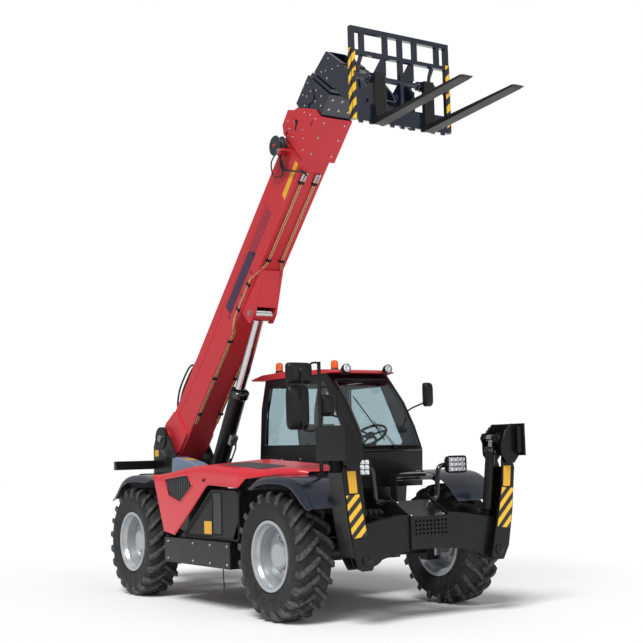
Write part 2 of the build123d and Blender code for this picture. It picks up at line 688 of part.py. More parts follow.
def boom_outer():
    """The outer boom: tube, pivot lugs, collar and the bracket for the lift cylinder."""
    tube = boom_tube(0, -150.0, BOOM_LENGTH)
    rear_cut = [(-400, -100), (-150, -100), (20, BOOM_BOTTOM - 20), (-400, BOOM_BOTTOM - 20)]
    tube = tube - boom_prism(rear_cut, -BOOM_HALF_WIDTH - 10, BOOM_HALF_WIDTH + 10)
    start, end = COLLAR_SIDE[0][0], COLLAR_SIDE[-1][0]
    side = boom_prism(COLLAR_SIDE, COLLAR_HALF - COLLAR_WALL, COLLAR_HALF)
    inner = COLLAR_HALF - COLLAR_WALL + 1
    under = boom_prism([(start, -435), (end, -435), (end, -422), (start, -422)], -inner, inner)
    over_back, over_front = BOOM_LENGTH - 300, BOOM_LENGTH - 110
    over_outline = [(over_back, 150), (over_back, 172), (over_front, 184), (over_front, 162)]
    over = boom_prism(over_outline, -inner, inner)
    ring_outline = [(-inner, -430), (-inner, 160), (inner, 160), (inner, -430)]
    ring = along_boom(ring_outline, BOOM_LENGTH - 294, BOOM_LENGTH - 270)
    front_outline = [(-inner, -430), (-inner, 60), (inner, 60), (inner, -430)]
    front_ring = along_boom(front_outline, BOOM_LENGTH - 60, BOOM_LENGTH - 40)
    core = along_boom(tube_outline(0, 1.0), BOOM_LENGTH - 400, BOOM_LENGTH + 200)
    collar = fuse([side, mirrored(side), under, over, ring - core, front_ring - core])
    sleeve = rod_x(BOOM_PIVOT_Y, BOOM_PIVOT_Z, 110, -FRAME_INNER_HALF + 14, FRAME_INNER_HALF - 14)
    lug_outline = [(-190, -120), (-190, 60), (-60, 140), (130, 140), (420, 60), (420, -380), (120, -380)]
    lug = boom_prism(lug_outline, BOOM_HALF_WIDTH - 2, BOOM_HALF_WIDTH + 22, radius=50)
    ear_outline = [
        (LIFT_PIN_S - 95, LIFT_PIN_T - 60), (LIFT_PIN_S - 60, LIFT_PIN_T - 100),
        (LIFT_PIN_S + 70, LIFT_PIN_T - 95), (LIFT_PIN_S + 560, BOOM_BOTTOM - 10),
        (LIFT_PIN_S + 560, BOOM_BOTTOM + 4), (LIFT_PIN_S - 95, BOOM_BOTTOM + 4),
    ]
    ear = boom_prism(ear_outline, LIFT_EAR_IN, LIFT_EAR_IN + LIFT_EAR)
    ear = ear - boom_hole(LIFT_PIN_S, LIFT_PIN_T, LIFT_PIN_RADIUS)
    web_outline = [
        (LIFT_PIN_S + 140, LIFT_PIN_T - 65), (LIFT_PIN_S + 520, BOOM_BOTTOM - 20),
        (LIFT_PIN_S + 520, BOOM_BOTTOM + 4), (LIFT_PIN_S + 140, LIFT_PIN_T - 50),
    ]
    web = boom_prism(web_outline, -LIFT_EAR_IN - 2, LIFT_EAR_IN + 2)
    clear_core = along_boom(tube_outline(0, BOOM_WALL), -400, BOOM_LENGTH + 100)
    extras = fuse([lug, mirrored(lug), ear, mirrored(ear), web]) - clear_core
    whole = fuse([tube, collar, extras, sleeve])
    return whole - rod_x(BOOM_PIVOT_Y, BOOM_PIVOT_Z, PIVOT_PIN_RADIUS, -400, 400)


REEL_S = BOOM_LENGTH - 470.0
REEL_T = 10.0
REEL_RADIUS = 112.0
REEL_FLANGE = 10.0
REEL_IN_X = -222.0
REEL_OUT_X = -312.0


def hose_reel():
    """The hose reel on the boom's right side: a flanged drum on a short axle, on a folded bracket."""
    _, y, z = boom_point(REEL_S, REEL_T)
    seat_x = -BOOM_HALF_WIDTH - SEAT_GAP
    flanges = [
        rod_x(y, z, REEL_RADIUS, REEL_OUT_X, REEL_OUT_X + REEL_FLANGE),
        rod_x(y, z, REEL_RADIUS, REEL_IN_X - REEL_FLANGE, REEL_IN_X),
    ]
    drum = rod_x(y, z, REEL_RADIUS - 22, REEL_OUT_X, REEL_IN_X)
    axle_rod = rod_x(y, z, 22, REEL_OUT_X - 14, seat_x)
    plate = [
        (REEL_S - 70, REEL_T - 90), (REEL_S + 70, REEL_T - 90), (REEL_S + 90, REEL_T + 20),
        (REEL_S + 50, REEL_T + 60), (REEL_S - 50, REEL_T + 60), (REEL_S - 90, REEL_T + 20),
    ]
    bracket = boom_prism(plate, -seat_x, 16 - seat_x, radius=12)
    return fuse(flanges + [drum, axle_rod, bracket])


def boom_hole(s, t, radius):
    """A bar across the boom, to cut a pin's hole."""
    _, y, z = boom_point(s, t)
    return rod_x(y, z, radius, -500, 500)


SECOND_HEAD = [(4812, -405), (4812, 120), (5168, 112), (5215, -400)]
THIRD_HEAD = [(5227, -372), (5180, 82), (5216, 80), (5263, -370)]
FOURTH_HEAD = [(5275, -348), (5228, 68), (5509, 12), (5556, -347)]


def boom_inner(steps, s0, outline, half):
    """An inner section with its pads and the thicker frame round its front end."""
    ends = sorted(s for s, _ in outline)
    tube = boom_tube(steps, s0, ends[-2])
    frame = boom_prism(outline, -half, half)
    frame = frame - along_boom(tube_outline(steps, 1.0), ends[0] - 10, ends[-1] + 10)
    return fuse([tube, frame] + pads(steps, s0))


NECK_HALF = 122.0
NECK_PLATE = 28.0
CARRIAGE_PIN_RADIUS = 35.0


def boom_fourth():
    """The innermost section with the bent head that carries the fork carriage."""
    section = boom_inner(3, 410.0, FOURTH_HEAD, 150.0)
    low_s, low_t = CARRIAGE_PIVOT_S, CARRIAGE_PIVOT_T
    outline = [
        (5300, -250), (5530, -250), (5548, -360), (5600, -700), (low_s + 85, low_t + 40),
        (low_s + 50, low_t - 75), (low_s - 55, low_t - 75), (low_s - 95, low_t + 40), (5290, -600),
    ]
    cheek = boom_prism(outline, NECK_HALF, NECK_HALF + NECK_PLATE, radius=20)
    cheek = cheek - boom_hole(low_s, low_t, CARRIAGE_PIN_RADIUS)
    half = NECK_HALF + 1
    front = boom_prism([(5524, -338), (5540, -338), (5586, -690), (5570, -690)], -half, half)
    back = boom_prism([(5310, -338), (5326, -338), (5326, -590), (5310, -590)], -half, half)
    return fuse([section, cheek, mirrored(cheek), front, back])


# ---------------------------------------------------------------- lift cylinder
LIFT_BARREL_RADIUS = 100.0
LIFT_ROD_RADIUS = 62.0
LIFT_BARREL_LENGTH = 1590.0
LIFT_ROD_LENGTH = 1580.0


def lift_line():
    """The cylinder's foot, its rod's eye and the unit run between them."""
    foot = Vector(0, LIFT_FOOT_Y, LIFT_FOOT_Z)
    eye = Vector(*boom_point(LIFT_PIN_S, LIFT_PIN_T))
    return foot, eye, (eye - foot).normalized()


def lift_barrel():
    """The lift cylinder's barrel with its foot eye and end ring."""
    foot, _, run = lift_line()
    start = foot + run * 85
    end = foot + run * LIFT_BARREL_LENGTH
    body = rod_between(start, end, LIFT_BARREL_RADIUS)
    ring = rod_between((end - run * 40), (end + run * 15), LIFT_BARREL_RADIUS + 5)
    bore = rod_between((foot + run * 120), (end + run * 30), LIFT_ROD_RADIUS + RUN_GAP)
    lug = rod_x(foot.Y, foot.Z, 70, -60, 60) + rod_between(foot, (start + run * 20), 52)
    reach = LIFT_FOOT_EAR_IN - 8
    stub = rod_x(foot.Y, foot.Z, 32, -reach, reach)
    return fuse([body, ring, lug, stub]) - bore


def lift_rod():
    """The chromed rod with the eye and pin that hold it in the boom's bracket."""
    _, eye, run = lift_line()
    rod = rod_between((eye - run * LIFT_ROD_LENGTH), (eye - run * 40), LIFT_ROD_RADIUS)
    eye_ring = rod_x(eye.Y, eye.Z, 88, -LIFT_EAR_IN + 1, LIFT_EAR_IN - 1)
    reach = LIFT_EAR_IN + LIFT_EAR + 6
    pin = rod_x(eye.Y, eye.Z, LIFT_PIN_RADIUS - 0.05, -reach, reach)
    return fuse([rod, eye_ring, pin])


# ---------------------------------------------------------------- carriage and forks
CARRIAGE_BACK_Y = -715.0
CARRIAGE_FACE_Y = -765.0
CARRIAGE_LOW_Z = 4710.0
CARRIAGE_TOP_Z = 5630.0
CARRIAGE_HALF = 600.0
SHAFT_Y = -740.0
SHAFT_Z = 5150.0
SHAFT_RADIUS = 28.0
FORK_X = 300.0
FORK_WIDTH = 120.0
FORK_HEEL = 30.0


def carriage():
    """The fork carriage: guard frame, fork shaft and the pivot lugs behind."""
    back, face = CARRIAGE_BACK_Y, CARRIAGE_FACE_Y
    half = CARRIAGE_HALF
    pieces = [
        block(-half, half, face, back, CARRIAGE_TOP_Z - 50, CARRIAGE_TOP_Z),
        block(-half, half, face, back, 5360, 5400),
        block(-half, half, face, face + 25, CARRIAGE_LOW_Z, CARRIAGE_LOW_Z + 170),
        block(-20, 20, face, back, CARRIAGE_LOW_Z, 5400),
        rod_x(SHAFT_Y, SHAFT_Z, SHAFT_RADIUS, -half + 5, half - 5),
    ]
    for x in (-half, half - 45):
        pieces.append(block(x, x + 45, face, back, CARRIAGE_LOW_Z, CARRIAGE_TOP_Z))
    for x in (-480, -200, -20, 160, 440):
        pieces.append(block(x, x + 40, face, back, 5390, CARRIAGE_TOP_Z - 10))
    _, py, pz = boom_point(CARRIAGE_PIVOT_S, CARRIAGE_PIVOT_T)
    outline = [
        (face + 20, CARRIAGE_LOW_Z + 5), (face + 20, 4880), (back - 10, 4900), (back - 10, 5385),
        (back + 50, 5385), (py + 60, pz + 60), (py + 60, pz - 60), (back + 60, CARRIAGE_LOW_Z + 5),
    ]
    inner = NECK_HALF + NECK_PLATE + 8
    lug = side_prism(outline, inner, inner + 25, radius=8)
    lug = lug - rod_x(SHAFT_Y, SHAFT_Z, 60, inner - 10, inner + 40)
    pin = rod_x(py, pz, CARRIAGE_PIN_RADIUS - 0.05, -inner - 40, inner + 40)
    pieces.extend([lug, mirrored(lug), pin])
    return fuse(pieces)


def fork(side):
    """A fork: a shank hung on the shaft by an eye, and a tapering blade."""
    x = side * FORK_X
    face = CARRIAGE_FACE_Y - SEAT_GAP
    low, high = x - FORK_WIDTH / 2, x + FORK_WIDTH / 2
    shank = block(low, high, face - 46, face, 4690, 5190)
    eye = rod_x(SHAFT_Y, SHAFT_Z, 50, low, high)
    eye = eye + block(low, high, face - 10, SHAFT_Y, SHAFT_Z - 40, SHAFT_Z + 40)
    eye = eye - block(low - 1, high + 1, face - 46, 0, SHAFT_Z - 300, SHAFT_Z - 55)
    heel_z, tip_z, front = 4735.0, 4812.0, face - 46
    slope = (tip_z - heel_z) / (FORK_TIP_Y + 40 - face)
    seat_y = front - FORK_HEEL
    blade_outline = [
        (front, 4685), (face - 2, 4685), (face - 2, heel_z + FORK_HEEL), (front, heel_z + FORK_HEEL),
        (seat_y, heel_z + slope * (seat_y - face)), (FORK_TIP_Y + 40, tip_z), (FORK_TIP_Y, tip_z - 8),
        (FORK_TIP_Y + 60, tip_z - 22),
    ]
    blade = side_prism(blade_outline, low, high)
    return fuse([shank, eye, blade]) - rod_x(SHAFT_Y, SHAFT_Z, SHAFT_RADIUS + RUN_GAP, low - 5, high + 5)


# ---------------------------------------------------------------- stabilisers
STAB_FRONT_Y = -1030.0
STAB_BACK_Y = -800.0
STAB_PIN_X = 776.0
STAB_PIN_Z = 602.0
STAB_PIN_RADIUS = 32.0
STAB_FOOT_X = 936.0
STAB_FOOT_Z = 1637.0
STAB_FOOT_PIN_RADIUS = 24.0
STAB_EYE = (830.0, 1662.0)
STAB_BASE = (725.0, 853.0)
STAB_BASE_PIN_RADIUS = 20.0
STAB_CYLINDER_Y = -915.0


def wing():
    """The cross arm from the frame out to both stabiliser pins."""
    half = [
        (334, 976), (791, 907), (804, 750), (850, 640), (820, 540), (743, 503), (562, 590), (295, 650),
    ]
    outline = half + [(-x, z) for x, z in reversed(half)]
    beam = front_prism(outline, STAB_CYLINDER_Y - 45, STAB_CYLINDER_Y + 45, radius=15)
    reach = NOSE_HALF + SEAT_GAP
    beam = beam - block(-reach, reach, -1100, -700, 600, 1100)
    web = block(reach, reach + 32, -880, FRAME_FRONT_Y - SEAT_GAP, 660, 890)
    pieces = beam + web + mirrored(web)
    for side in (-1, 1):
        pieces = pieces - rod_y(side * STAB_PIN_X, STAB_PIN_Z, STAB_PIN_RADIUS, -1100, -700)
        pieces = pieces - rod_y(side * STAB_BASE[0], STAB_BASE[1], STAB_BASE_PIN_RADIUS, -1100, -700)
        inner, outer = sorted((side * 600, side * 900))
        pieces = pieces - block(inner, outer, STAB_CYLINDER_Y - 23, STAB_CYLINDER_Y + 23, 400, 1100)
    return pieces


def stabiliser_arm():
    """The left arm: two side plates folded up beside the nose, joined by an outer web."""
    outline = [
        (690, 560), (720, 510), (830, 510), (900, 633), (960, 964), (1012, 1380), (985, 1450), (985, 1690),
        (900, 1712), (812, 1712), (786, 1662), (812, 1612), (868, 1560), (840, 1200), (777, 925),
    ]
    eye_x, eye_z = STAB_EYE
    pieces = []
    for y in (STAB_FRONT_Y, STAB_BACK_Y - 20):
        pieces.append(front_prism(outline, y, y + 20, radius=10))
    for y0, y1 in ((STAB_FRONT_Y + 15, STAB_CYLINDER_Y - 44), (STAB_CYLINDER_Y + 44, STAB_BACK_Y - 15)):
        pieces.append(rod_y(eye_x, eye_z, 34, y0, y1))
    web = [(885, 640), (950, 970), (1000, 1385), (1016, 1382), (968, 960), (905, 630)]
    pieces.append(front_prism(web, STAB_FRONT_Y + 5, STAB_BACK_Y - 5))
    pin_y = (STAB_FRONT_Y - 15, STAB_BACK_Y + 15)
    pieces.append(rod_y(STAB_PIN_X, STAB_PIN_Z, STAB_PIN_RADIUS - 0.05, *pin_y))
    return fuse(pieces) - rod_y(STAB_FOOT_X, STAB_FOOT_Z, STAB_FOOT_PIN_RADIUS, -1100, -700)


def stabiliser_foot():
    """The left foot: a plate with two ears on the pin at the arm's end."""
    plate = block(1040, 1060, -1150, -680, 1490, 1800)
    ear_outline = [
        (1045, 1530), (1045, 1760), (STAB_FOOT_X - 36, STAB_FOOT_Z + 40),
        (STAB_FOOT_X - 36, STAB_FOOT_Z - 40),
    ]
    ears = []
    for y in (STAB_FRONT_Y - 24, STAB_BACK_Y + 4):
        ears.append(front_prism(ear_outline, y, y + 20, radius=10))
    radius = STAB_FOOT_PIN_RADIUS - 0.05
    pin = rod_y(STAB_FOOT_X, STAB_FOOT_Z, radius, STAB_FRONT_Y - 30, STAB_BACK_Y + 30)
    return fuse([plate, pin] + ears)


STAB_BARREL_RADIUS = 46.0
STAB_ROD_RADIUS = 28.0
STAB_BARREL_LENGTH = 700.0
STAB_ROD_LENGTH = 655.0


def stabiliser_line():
    """The left cylinder's base, its rod's eye and the unit run between them."""
    base = Vector(STAB_BASE[0], STAB_CYLINDER_Y, STAB_BASE[1])
    eye = Vector(STAB_EYE[0], STAB_CYLINDER_Y, STAB_EYE[1])
    return base, eye, (eye - base).normalized()


def stabiliser_barrel():
    """The left cylinder's barrel, on a pin in the cross arm's slot."""
    base, _, run = stabiliser_line()
    start = base + run * 130
    end = base + run * STAB_BARREL_LENGTH
    body = rod_between(start, end, STAB_BARREL_RADIUS)
    lug = rod_y(base.X, base.Z, 32, base.Y - 20, base.Y + 20)
    neck = Plane(origin=base + run * 72, z_dir=run, x_dir=(0, 1, 0)) * Box(40, 52, 144)
    pin = rod_y(base.X, base.Z, STAB_BASE_PIN_RADIUS - 0.05, base.Y - 45, base.Y + 45)
    bore = rod_between((base + run * 152), (end + run * 20), STAB_ROD_RADIUS + RUN_GAP)
    return fuse([body, lug, neck, pin]) - bore


def stabiliser_rod():
    """The left cylinder's rod and its eye between the arm's plates."""
    _, eye, run = stabiliser_line()
    rod = rod_between((eye - run * STAB_ROD_LENGTH), (eye - run * 20), STAB_ROD_RADIUS)
    ring = rod_y(eye.X, eye.Z, 36, eye.Y - 38, eye.Y + 38)
    return rod + ring


STRAP_RADIUS = 6.0
STRAP_ROUTE = [
    (-1105, 1020, 432), (-1105, 1020, 380), (-1108, 1018, 330), (-1104, 1010, 280), (-1110, 1004, 230),
    (-1112, 1000, 180),
]


def ground_strap():
    """The flexible earthing strap that hangs below the side box: straight runs joined by tangent arcs."""
    radii = []
    for before, here, after in zip(STRAP_ROUTE, STRAP_ROUTE[1:], STRAP_ROUTE[2:]):
        into, out = Vector(*here) - Vector(*before), Vector(*after) - Vector(*here)
        half_turn = math.radians(into.get_angle(out)) / 2
        radii.append(0.45 * min(into.length, out.length) / math.tan(half_turn))
    path = FilletPolyline(*STRAP_ROUTE, radius=radii)
    start = Plane(origin=path @ 0, z_dir=path % 0)
    strap = sweep(start * Circle(STRAP_RADIUS), path=path)
    full = math.pi * STRAP_RADIUS**2 * path.length
    print("strap radii", [round(radius) for radius in radii], "length", round(path.length, 1))
    print("strap volume over section times length", round(strap.volume / full, 4))
    return strap


# ---------------------------------------------------------------- assembly
def build():
    """Makes every node."""
    keep("chassis_frame", chassis_frame())
    keep("boom_pivot_pin", pivot_pin())
    keep("nose_tray", nose_tray())
    keep("counterweight", counterweight())
    keep("tail_bar", tail_bar())
    keep("stabiliser_beam", wing())
    for place, y in (("front", 0.0), ("rear", WHEEL_BASE)):
        keep(f"{place}_axle", axle(y))
        for hand, side in (("right", -1), ("left", 1)):
            keep(f"knuckle_{place}_{hand}", knuckle(side, y))
            keep(f"tyre_{place}_{hand}", tyre(side, y))
            keep(f"rim_{place}_{hand}", rim(side, y))
    keep("engine_block", engine_block())
    keep("side_box", side_box())
    keep("hood", hood())
    keep("side_panel", side_panel())
    keep("step_tank", step_tank())
    keep("front_fenders", *[fender(side, 0, FRONT_FENDER) for side in (-1, 1)])
    keep("rear_fenders", *[fender(side, WHEEL_BASE, REAR_FENDER) for side in (-1, 1)])
    keep("cab_shell", cab_shell())
    keep("cab_roof", cab_roof())
    keep("cab_glass", *cab_glass())
    keep("cab_door", cab_door())
    keep("door_glass", door_glass())
    keep("driver_seat", seat())
    keep("steering_console", steering_console())
    keep("mirror_right", mirror_right())
    keep("mirror_left", mirror_left())
    keep("headlamps", *headlamps())
    keep("roof_lamps", *roof_lamps())
    keep("boom_outer", boom_outer())
    keep("hose_reel", hose_reel())
    keep("boom_second", boom_inner(1, 250.0, SECOND_HEAD, 180.0))
    keep("boom_third", boom_inner(2, 330.0, THIRD_HEAD, 165.0))
    keep("boom_fourth", boom_fourth())
    keep("lift_barrel", lift_barrel())
    keep("lift_rod", lift_rod())
    keep("fork_carriage", carriage())
    keep("fork_right", fork(-1))
    keep("fork_left", fork(1))
    left = stabiliser_arm()
    keep("stabiliser_arm_left", left)
    keep("stabiliser_arm_right", mirrored(left))
    for name, piece in (
        ("foot", stabiliser_foot()), ("barrel", stabiliser_barrel()), ("rod", stabiliser_rod()),
    ):
        keep(f"stabiliser_{name}_left", piece)
        keep(f"stabiliser_{name}_right", mirrored(piece))
    keep("ground_strap", ground_strap())


def write():
    """Moves every node to the origin and writes its file."""
    os.makedirs("parts", exist_ok=True)
    for name, solids in NODES.items():
        moved = [Pos(*ORIGIN_SHIFT) * solid for solid in solids]
        whole = moved[0] if len(moved) == 1 else Compound(children=moved)
        export_step(whole, f"parts/{name}.step")


if __name__ == "__main__":
    build()
    write()
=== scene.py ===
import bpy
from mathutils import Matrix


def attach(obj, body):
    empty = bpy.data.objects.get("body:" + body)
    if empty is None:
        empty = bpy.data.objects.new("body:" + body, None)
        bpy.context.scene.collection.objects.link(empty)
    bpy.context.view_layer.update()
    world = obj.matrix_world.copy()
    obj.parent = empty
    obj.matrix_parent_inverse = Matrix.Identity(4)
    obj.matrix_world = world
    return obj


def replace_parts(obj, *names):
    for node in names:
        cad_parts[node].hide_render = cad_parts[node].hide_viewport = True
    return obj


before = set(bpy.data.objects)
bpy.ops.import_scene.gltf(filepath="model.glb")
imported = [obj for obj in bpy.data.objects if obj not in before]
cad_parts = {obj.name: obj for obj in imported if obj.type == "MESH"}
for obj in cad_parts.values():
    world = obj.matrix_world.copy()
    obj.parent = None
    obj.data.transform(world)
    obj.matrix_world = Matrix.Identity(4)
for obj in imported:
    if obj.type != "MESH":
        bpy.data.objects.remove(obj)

"""Looks of a telehandler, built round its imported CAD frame.

Everything is in metres in the CAD frame: +X is the machine's left, -Y is forwards and +Z is up.
"""
import logging
import math
from collections.abc import Sequence
from dataclasses import dataclass, field
from enum import Enum

import bmesh
import bpy
import numpy as np
from mathutils import Matrix

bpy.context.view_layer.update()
LOG = logging.getLogger("telehandler")

AXLE_SHIFT = -1.175
BOOM_TILT = math.radians(46.0)
BOOM_PIVOT = (4.15, 1.80)
TYRE_RADIUS = 0.61
TRACK_HALF = 1.0
WHEEL_BASE = 3.07

ON_AXIS = 1e-5
THIN_RING = 1e-4
CAD_MERGE = 0.00005
SKIN_MERGE = 0.00002
FLAT_ANGLE = 1.0
CREASE_ANGLE = 30.0
SHARP_ANGLE = 35.0
TUBE_ANGLE = 60.0
FULL_TURN = 2 * math.pi

Vec = tuple[float, float, float]
Route = Sequence[Vec]
Places = Sequence[np.ndarray]
Outline = Sequence[tuple[float, float]]
Part = tuple[np.ndarray, list]

ACROSS = np.array([1.0, 0.0, 0.0])
BACKWARDS = np.array([0.0, 1.0, 0.0])
UP = np.array([0.0, 0.0, 1.0])
BOOM_ALONG = np.array([0.0, -math.cos(BOOM_TILT), math.sin(BOOM_TILT)])
BOOM_OUT = np.array([0.0, math.sin(BOOM_TILT), math.cos(BOOM_TILT)])


class Hand(Enum):
    """A side of the machine; the value is the sign of its x."""

    RIGHT = -1
    LEFT = 1

    @property
    def word(self) -> str:
        """The side as it stands in the names of pieces."""
        return self.name.lower()


class Axle(Enum):
    """An axle; the value is its distance behind the front one."""

    FRONT = 0.0
    REAR = WHEEL_BASE

    @property
    def word(self) -> str:
        """The axle as it stands in the names of pieces."""
        return self.name.lower()


SIGNS = tuple(hand.value for hand in Hand)


# ------------------------------------------------------------------ places
def at(x: float, y: float, z: float) -> np.ndarray:
    """A place given from the front axle's centre on the ground, in the CAD frame."""
    return np.array([x, y + AXLE_SHIFT, z])


def places(route: Route, side: int = 1) -> list[np.ndarray]:
    """Several such places, with their x taken to one side."""
    return [at(side * x, y, z) for x, y, z in route]


def on_boom(s: float, t: float, x: float = 0.0) -> np.ndarray:
    """A place measured along the boom, in the CAD frame.

    Args:
        s: the way along the boom from its pivot.
        t: the way out of its back.
        x: the way across.

    Returns:
        The place.
    """
    y = BOOM_PIVOT[0] - math.cos(BOOM_TILT) * s + math.sin(BOOM_TILT) * t
    z = BOOM_PIVOT[1] + math.sin(BOOM_TILT) * s + math.cos(BOOM_TILT) * t
    return at(x, y, z)


def boom_places(route: Route, side: int = 1) -> list[np.ndarray]:
    """Several places on the boom, with their x taken to one side."""
    return [on_boom(s, t, side * x) for s, t, x in route]


def rectangle(u0: float, u1: float, v0: float, v1: float) -> Outline:
    """The corners of a rectangle."""
    return [(u0, v0), (u1, v0), (u1, v1), (u0, v1)]


# ------------------------------------------------------------------ surfaces
def grid_faces(rows: int, columns: int, wrap_rows: bool = False, wrap_columns: bool = False) -> np.ndarray:
    """Quads over a grid counted row by row: each takes a point, its neighbour and the two of the next row.

    Args:
        rows: points along the first parameter.
        columns: points along the second parameter.
        wrap_rows: joins the last row to the first.
        wrap_columns: joins the last column to the first.

    Returns:
        An array of four indices a face.
    """
    i = np.arange(rows if wrap_rows else rows - 1)
    j = np.arange(columns if wrap_columns else columns - 1)
    i, j = np.meshgrid(i, j, indexing="ij")
    i, j = i.ravel(), j.ravel()
    ni, nj = (i + 1) % rows, (j + 1) % columns
    return np.stack([i * columns + j, ni * columns + j, ni * columns + nj, i * columns + nj], axis=1)


def frame_about(axis: np.ndarray) -> tuple[np.ndarray, np.ndarray]:
    """Two unit vectors square to an axis and to each other.

    Args:
        axis: the direction they stand about.

    Returns:
        The first, which is level unless the axis is upright, and the second.
    """
    axis = np.asarray(axis, float) / np.linalg.norm(axis)
    helper = UP if abs(axis[2]) < 0.9 else ACROSS
    first = np.cross(helper, axis)
    first /= np.linalg.norm(first)
    return first, np.cross(axis, first)


def turned(profile: Outline, origin: np.ndarray, axis: Vec, steps: int = 48, closed: bool = False) -> Part:
    """A turned surface: the point at angle a is origin + axis*h + (cos a * u + sin a * v)*r for each (r, h).

    Args:
        profile: radius and height pairs, in metres.
        origin: the place where height is 0.
        axis: the direction of the turning axis.
        steps: points round the turn.
        closed: joins the profile's last point to its first.

    Returns:
        Points and faces.
    """
    axis = np.asarray(axis, float) / np.linalg.norm(axis)
    u, v = frame_about(axis)
    r, h = np.array(profile).T
    a = np.linspace(0, FULL_TURN, steps, endpoint=False)
    ring = np.cos(a)[:, None] * u + np.sin(a)[:, None] * v
    points = np.asarray(origin) + h[None, :, None] * axis + ring[:, None, :] * r[None, :, None]
    faces = grid_faces(steps, len(r), wrap_rows=True, wrap_columns=closed)
    return points.reshape(-1, 3), faces.tolist()


def bar(a: np.ndarray, b: np.ndarray, radius: float, steps: int = 20) -> Part:
    """A round bar with flat ends and broken edges: a turned profile that starts and stops on the axis.

    Args:
        a: the middle of one end.
        b: the middle of the other.
        radius: of the bar.
        steps: points round it.

    Returns:
        Points and faces.
    """
    a, b = np.asarray(a, float), np.asarray(b, float)
    length = float(np.linalg.norm(b - a))
    edge = min(0.12 * radius, 0.1 * length)
    near = [(ON_AXIS, 0), (radius - edge, 0), (radius, edge)]
    far = [(r, length - h) for r, h in reversed(near)]
    return turned(near + far, a, tuple(b - a), steps)


def smooth_path(points: Places, density: int = 8) -> np.ndarray:
    """A Catmull-Rom line: each span blends its two ends with their neighbours by cubic weights.

    Args:
        points: the places that the line goes through.
        density: points in each span.

    Returns:
        The line's points.
    """
    p = np.array([np.asarray(q, float) for q in points])
    p = np.vstack([2 * p[0] - p[1], p, 2 * p[-1] - p[-2]])
    t = np.linspace(0, 1, density, endpoint=False)[None, :, None]
    p0, p1, p2, p3 = p[:-3, None], p[1:-2, None], p[2:-1, None], p[3:, None]
    square, cube = 2 * p0 - 5 * p1 + 4 * p2 - p3, 3 * p1 - p0 - 3 * p2 + p3
    line = 0.5 * (2 * p1 + (p2 - p0) * t + square * t**2 + cube * t**3)
    return np.vstack([line.reshape(-1, 3), p[-2]])


def rounded(points: Places, reach: float) -> np.ndarray:
    """A line with each corner cut back by reach and bridged by a quadratic curve through the corner.

    Args:
        points: the places of the straight line's corners.
        reach: how far each corner is cut back.

    Returns:
        The line's points.
    """
    out = [points[0]]
    t = np.linspace(0, 1, 6)[:, None]
    for a, b, c in zip(points[:-2], points[1:-1], points[2:]):
        back, on = (a - b) / np.linalg.norm(a - b), (c - b) / np.linalg.norm(c - b)
        p, q = b + back * reach, b + on * reach
        out.extend((1 - t) ** 2 * p + 2 * t * (1 - t) * b + t**2 * q)
    out.append(points[-1])
    return np.array(out)


def swept(path: np.ndarray, radius: float, steps: int = 10) -> Part:
    """A pipe along a path: at each point a circle stands in the plane that halves the bend there.

    Args:
        path: points along the middle line.
        radius: of the pipe.
        steps: points round it.

    Returns:
        Points and faces, closed at both ends.
    """
    path = np.asarray(path, float)
    tangent = np.gradient(path, axis=0)
    tangent /= np.linalg.norm(tangent, axis=1)[:, None]
    first, _ = frame_about(tangent[0])
    sides = [first]
    for direction in tangent[1:]:
        side = sides[-1] - direction * np.dot(sides[-1], direction)
        sides.append(side / np.linalg.norm(side))
    side = np.array(sides)
    other = np.cross(tangent, side)
    a = np.linspace(0, FULL_TURN, steps, endpoint=False)
    ring = side[:, None, :] * np.cos(a)[None, :, None] + other[:, None, :] * np.sin(a)[None, :, None]
    points = path[:, None, :] + radius * ring
    start, end = np.arange(steps), np.arange(steps) + steps * (len(path) - 1)
    faces = grid_faces(len(path), steps, wrap_columns=True)[:, ::-1].tolist()
    return points.reshape(-1, 3), [*faces, start.tolist(), end[::-1].tolist()]


def hose(route: Places, radius: float, steps: int = 10, density: int = 8) -> Part:
    """A pipe along the smooth line through some places."""
    return swept(smooth_path(route, density), radius, steps)


def tube(route: Places, reach: float, radius: float, steps: int = 10) -> Part:
    """A pipe along straight runs with rounded corners."""
    return swept(rounded(route, reach), radius, steps)


def ridge(points: Places, radius: float, reach: float = 0.03) -> Part:
    """A round bead along a closed loop of places."""
    middle = (points[0] + points[1]) / 2
    return tube([middle, *points[1:], points[0], middle], reach, radius, 8)


def slab(outline: Outline, origin: np.ndarray, u: np.ndarray, v: np.ndarray, depth: float) -> Part:
    """A flat outline in the plane of u and v, thickened by depth along their cross product.

    Args:
        outline: points as distances along u and v.
        origin: where both distances are 0.
        u: the first direction.
        v: the second direction.
        depth: the thickness.

    Returns:
        Points and faces.
    """
    flat = np.array(outline, float)
    area = np.sum(flat[:, 0] * np.roll(flat[:, 1], -1) - flat[:, 1] * np.roll(flat[:, 0], -1))
    if area < 0:
        flat = flat[::-1]
    low = np.asarray(origin) + flat[:, :1] * u + flat[:, 1:] * v
    count = len(flat)
    points = np.vstack([low, low + np.cross(u, v) * depth])
    sides = [[k, (k + 1) % count, count + (k + 1) % count, count + k] for k in range(count)]
    return points, [list(range(count))[::-1], list(range(count, 2 * count)), *sides]


def box(low: Vec, high: Vec) -> Part:
    """A straight block between two corners, measured from the front axle."""
    (x0, y0, z0), (x1, y1, z1) = low, high
    return slab(rectangle(x0, x1, y0, y1), at(0, 0, z0), ACROSS, BACKWARDS, z1 - z0)


def sided_box(side: int, low: Vec, high: Vec) -> Part:
    """A block whose two x are measured outwards on one side of the machine."""
    x0, x1 = sorted((side * low[0], side * high[0]))
    return box((x0, *low[1:]), (x1, *high[1:]))


